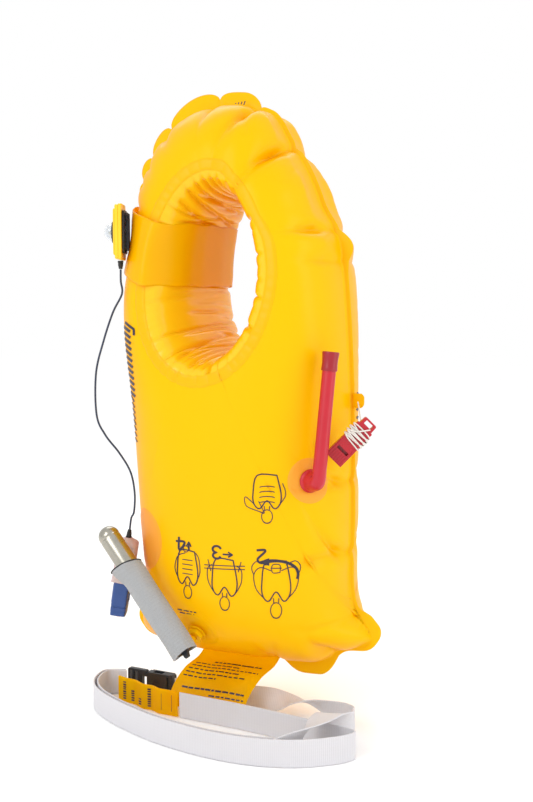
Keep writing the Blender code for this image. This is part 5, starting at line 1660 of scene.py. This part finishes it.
CABLE_MAT = plastic_material("cable_navy", (0.020, 0.030, 0.060), 0.38, 600.0, 0.00005, 0.3)
RUBBER_MAT = plastic_material("rubber_black", (0.015, 0.015, 0.015), 0.62, 420.0, 0.00010, 0.4)
STEEL_MAT = metal_material("metal_steel", (0.44, 0.42, 0.36), 0.20)
BRASS_MAT = metal_material("metal_brass", (0.72, 0.52, 0.22), 0.24)
CELL_MAT = metal_material("metal_cell", (0.62, 0.62, 0.64), 0.24)
CLOTH_MAT = webbing_material("cloth_sleeve_knit", (0.50, 0.51, 0.52), 0.0010, 0.66)
WEB_MAT = webbing_material("webbing_white", (0.76, 0.75, 0.78))
ELASTIC_MAT = plastic_material("elastic_black", (0.015, 0.015, 0.018), 0.75, 900.0, 0.00020, 0.6)
POUCH_MAT = film_material("pouch_white", (0.86, 0.74, 0.70), (0.9, 0.75, 0.70), 0.45, 0.30)
CORD_MAT = plastic_material("cord_white", (0.72, 0.70, 0.64), 0.80, 1300.0, 0.00030, 0.15)
GLASS_MAT = plastic_material("lens_clear", (0.92, 0.95, 0.98), 0.04, 200.0, 0.0, 0.0,
                             **{"Transmission Weight": 0.95, "IOR": 1.46})
BULB_MAT = plastic_material("lamp_pale", (0.80, 0.80, 0.74), 0.20, 200.0, 0.00002, 0.05)
INK_MAT = plastic_material("ink_black", (0.020, 0.014, 0.028), 0.45, 900.0, 0.00003, 0.3)

make_cable(CABLE_MAT)
make_lanyard(CORD_MAT)
make_skins(FILM_MAT)
make_gusset(GUSSET_MAT)
FRONT_TREE, BOTH_TREE = skin_trees()
make_neck_bands(WELD_MAT)
make_light_band(SLING_MAT)
patch("patch_side", "side_patch", math.radians(-47.0), 0.167, 0.031, PATCH_MAT)
patch("patch_tube", "oral_tube_patch", TUBE_TURN, TUBE_Z, 0.0215, PATCH_MAT)
patch("patch_inflator", "inflator_patch", math.radians(-10.0), 0.083, 0.021, FILM_MAT)
make_oral_tube(RED_MAT, DARK_RED_MAT, STEEL_MAT)
make_cylinder(STEEL_MAT, CLOTH_MAT, ELASTIC_MAT)
make_belt(WEB_MAT, LABEL_MAT, INK_MAT)
make_flap(LABEL_MAT)
make_whistle(WHISTLE_MAT)
make_light(HOLDER_MAT, BLACK_MAT, GLASS_MAT)
make_boots(RUBBER_MAT)
make_battery(BLUE_MAT)
make_pouch(POUCH_MAT)
make_eyelet_tab(FILM_MAT)
make_keeper(FILM_MAT)
make_buckle(BLACK_MAT)
make_print(INK_MAT)

FINISHES = {"valve_poppet": BLACK_MAT, "cylinder_seal": BRASS_MAT,
            "inflator_body": BLACK_MAT, "inflation_lever": BLACK_MAT, "lever_pin": STEEL_MAT,
            "firing_pin": STEEL_MAT, "inflator_stem": FILM_MAT, "stem_nut": FILM_MAT, "stem_gasket": FILM_MAT,
            "lamp_bulb": BULB_MAT, "battery_cell": CELL_MAT, "battery_plug": WHISTLE_MAT,
            "prong_upper": BLACK_MAT, "prong_lower": BLACK_MAT}
for node, finish in FINISHES.items():
    target = NODES[node]
    target.data.materials.clear()
    target.data.materials.append(finish)
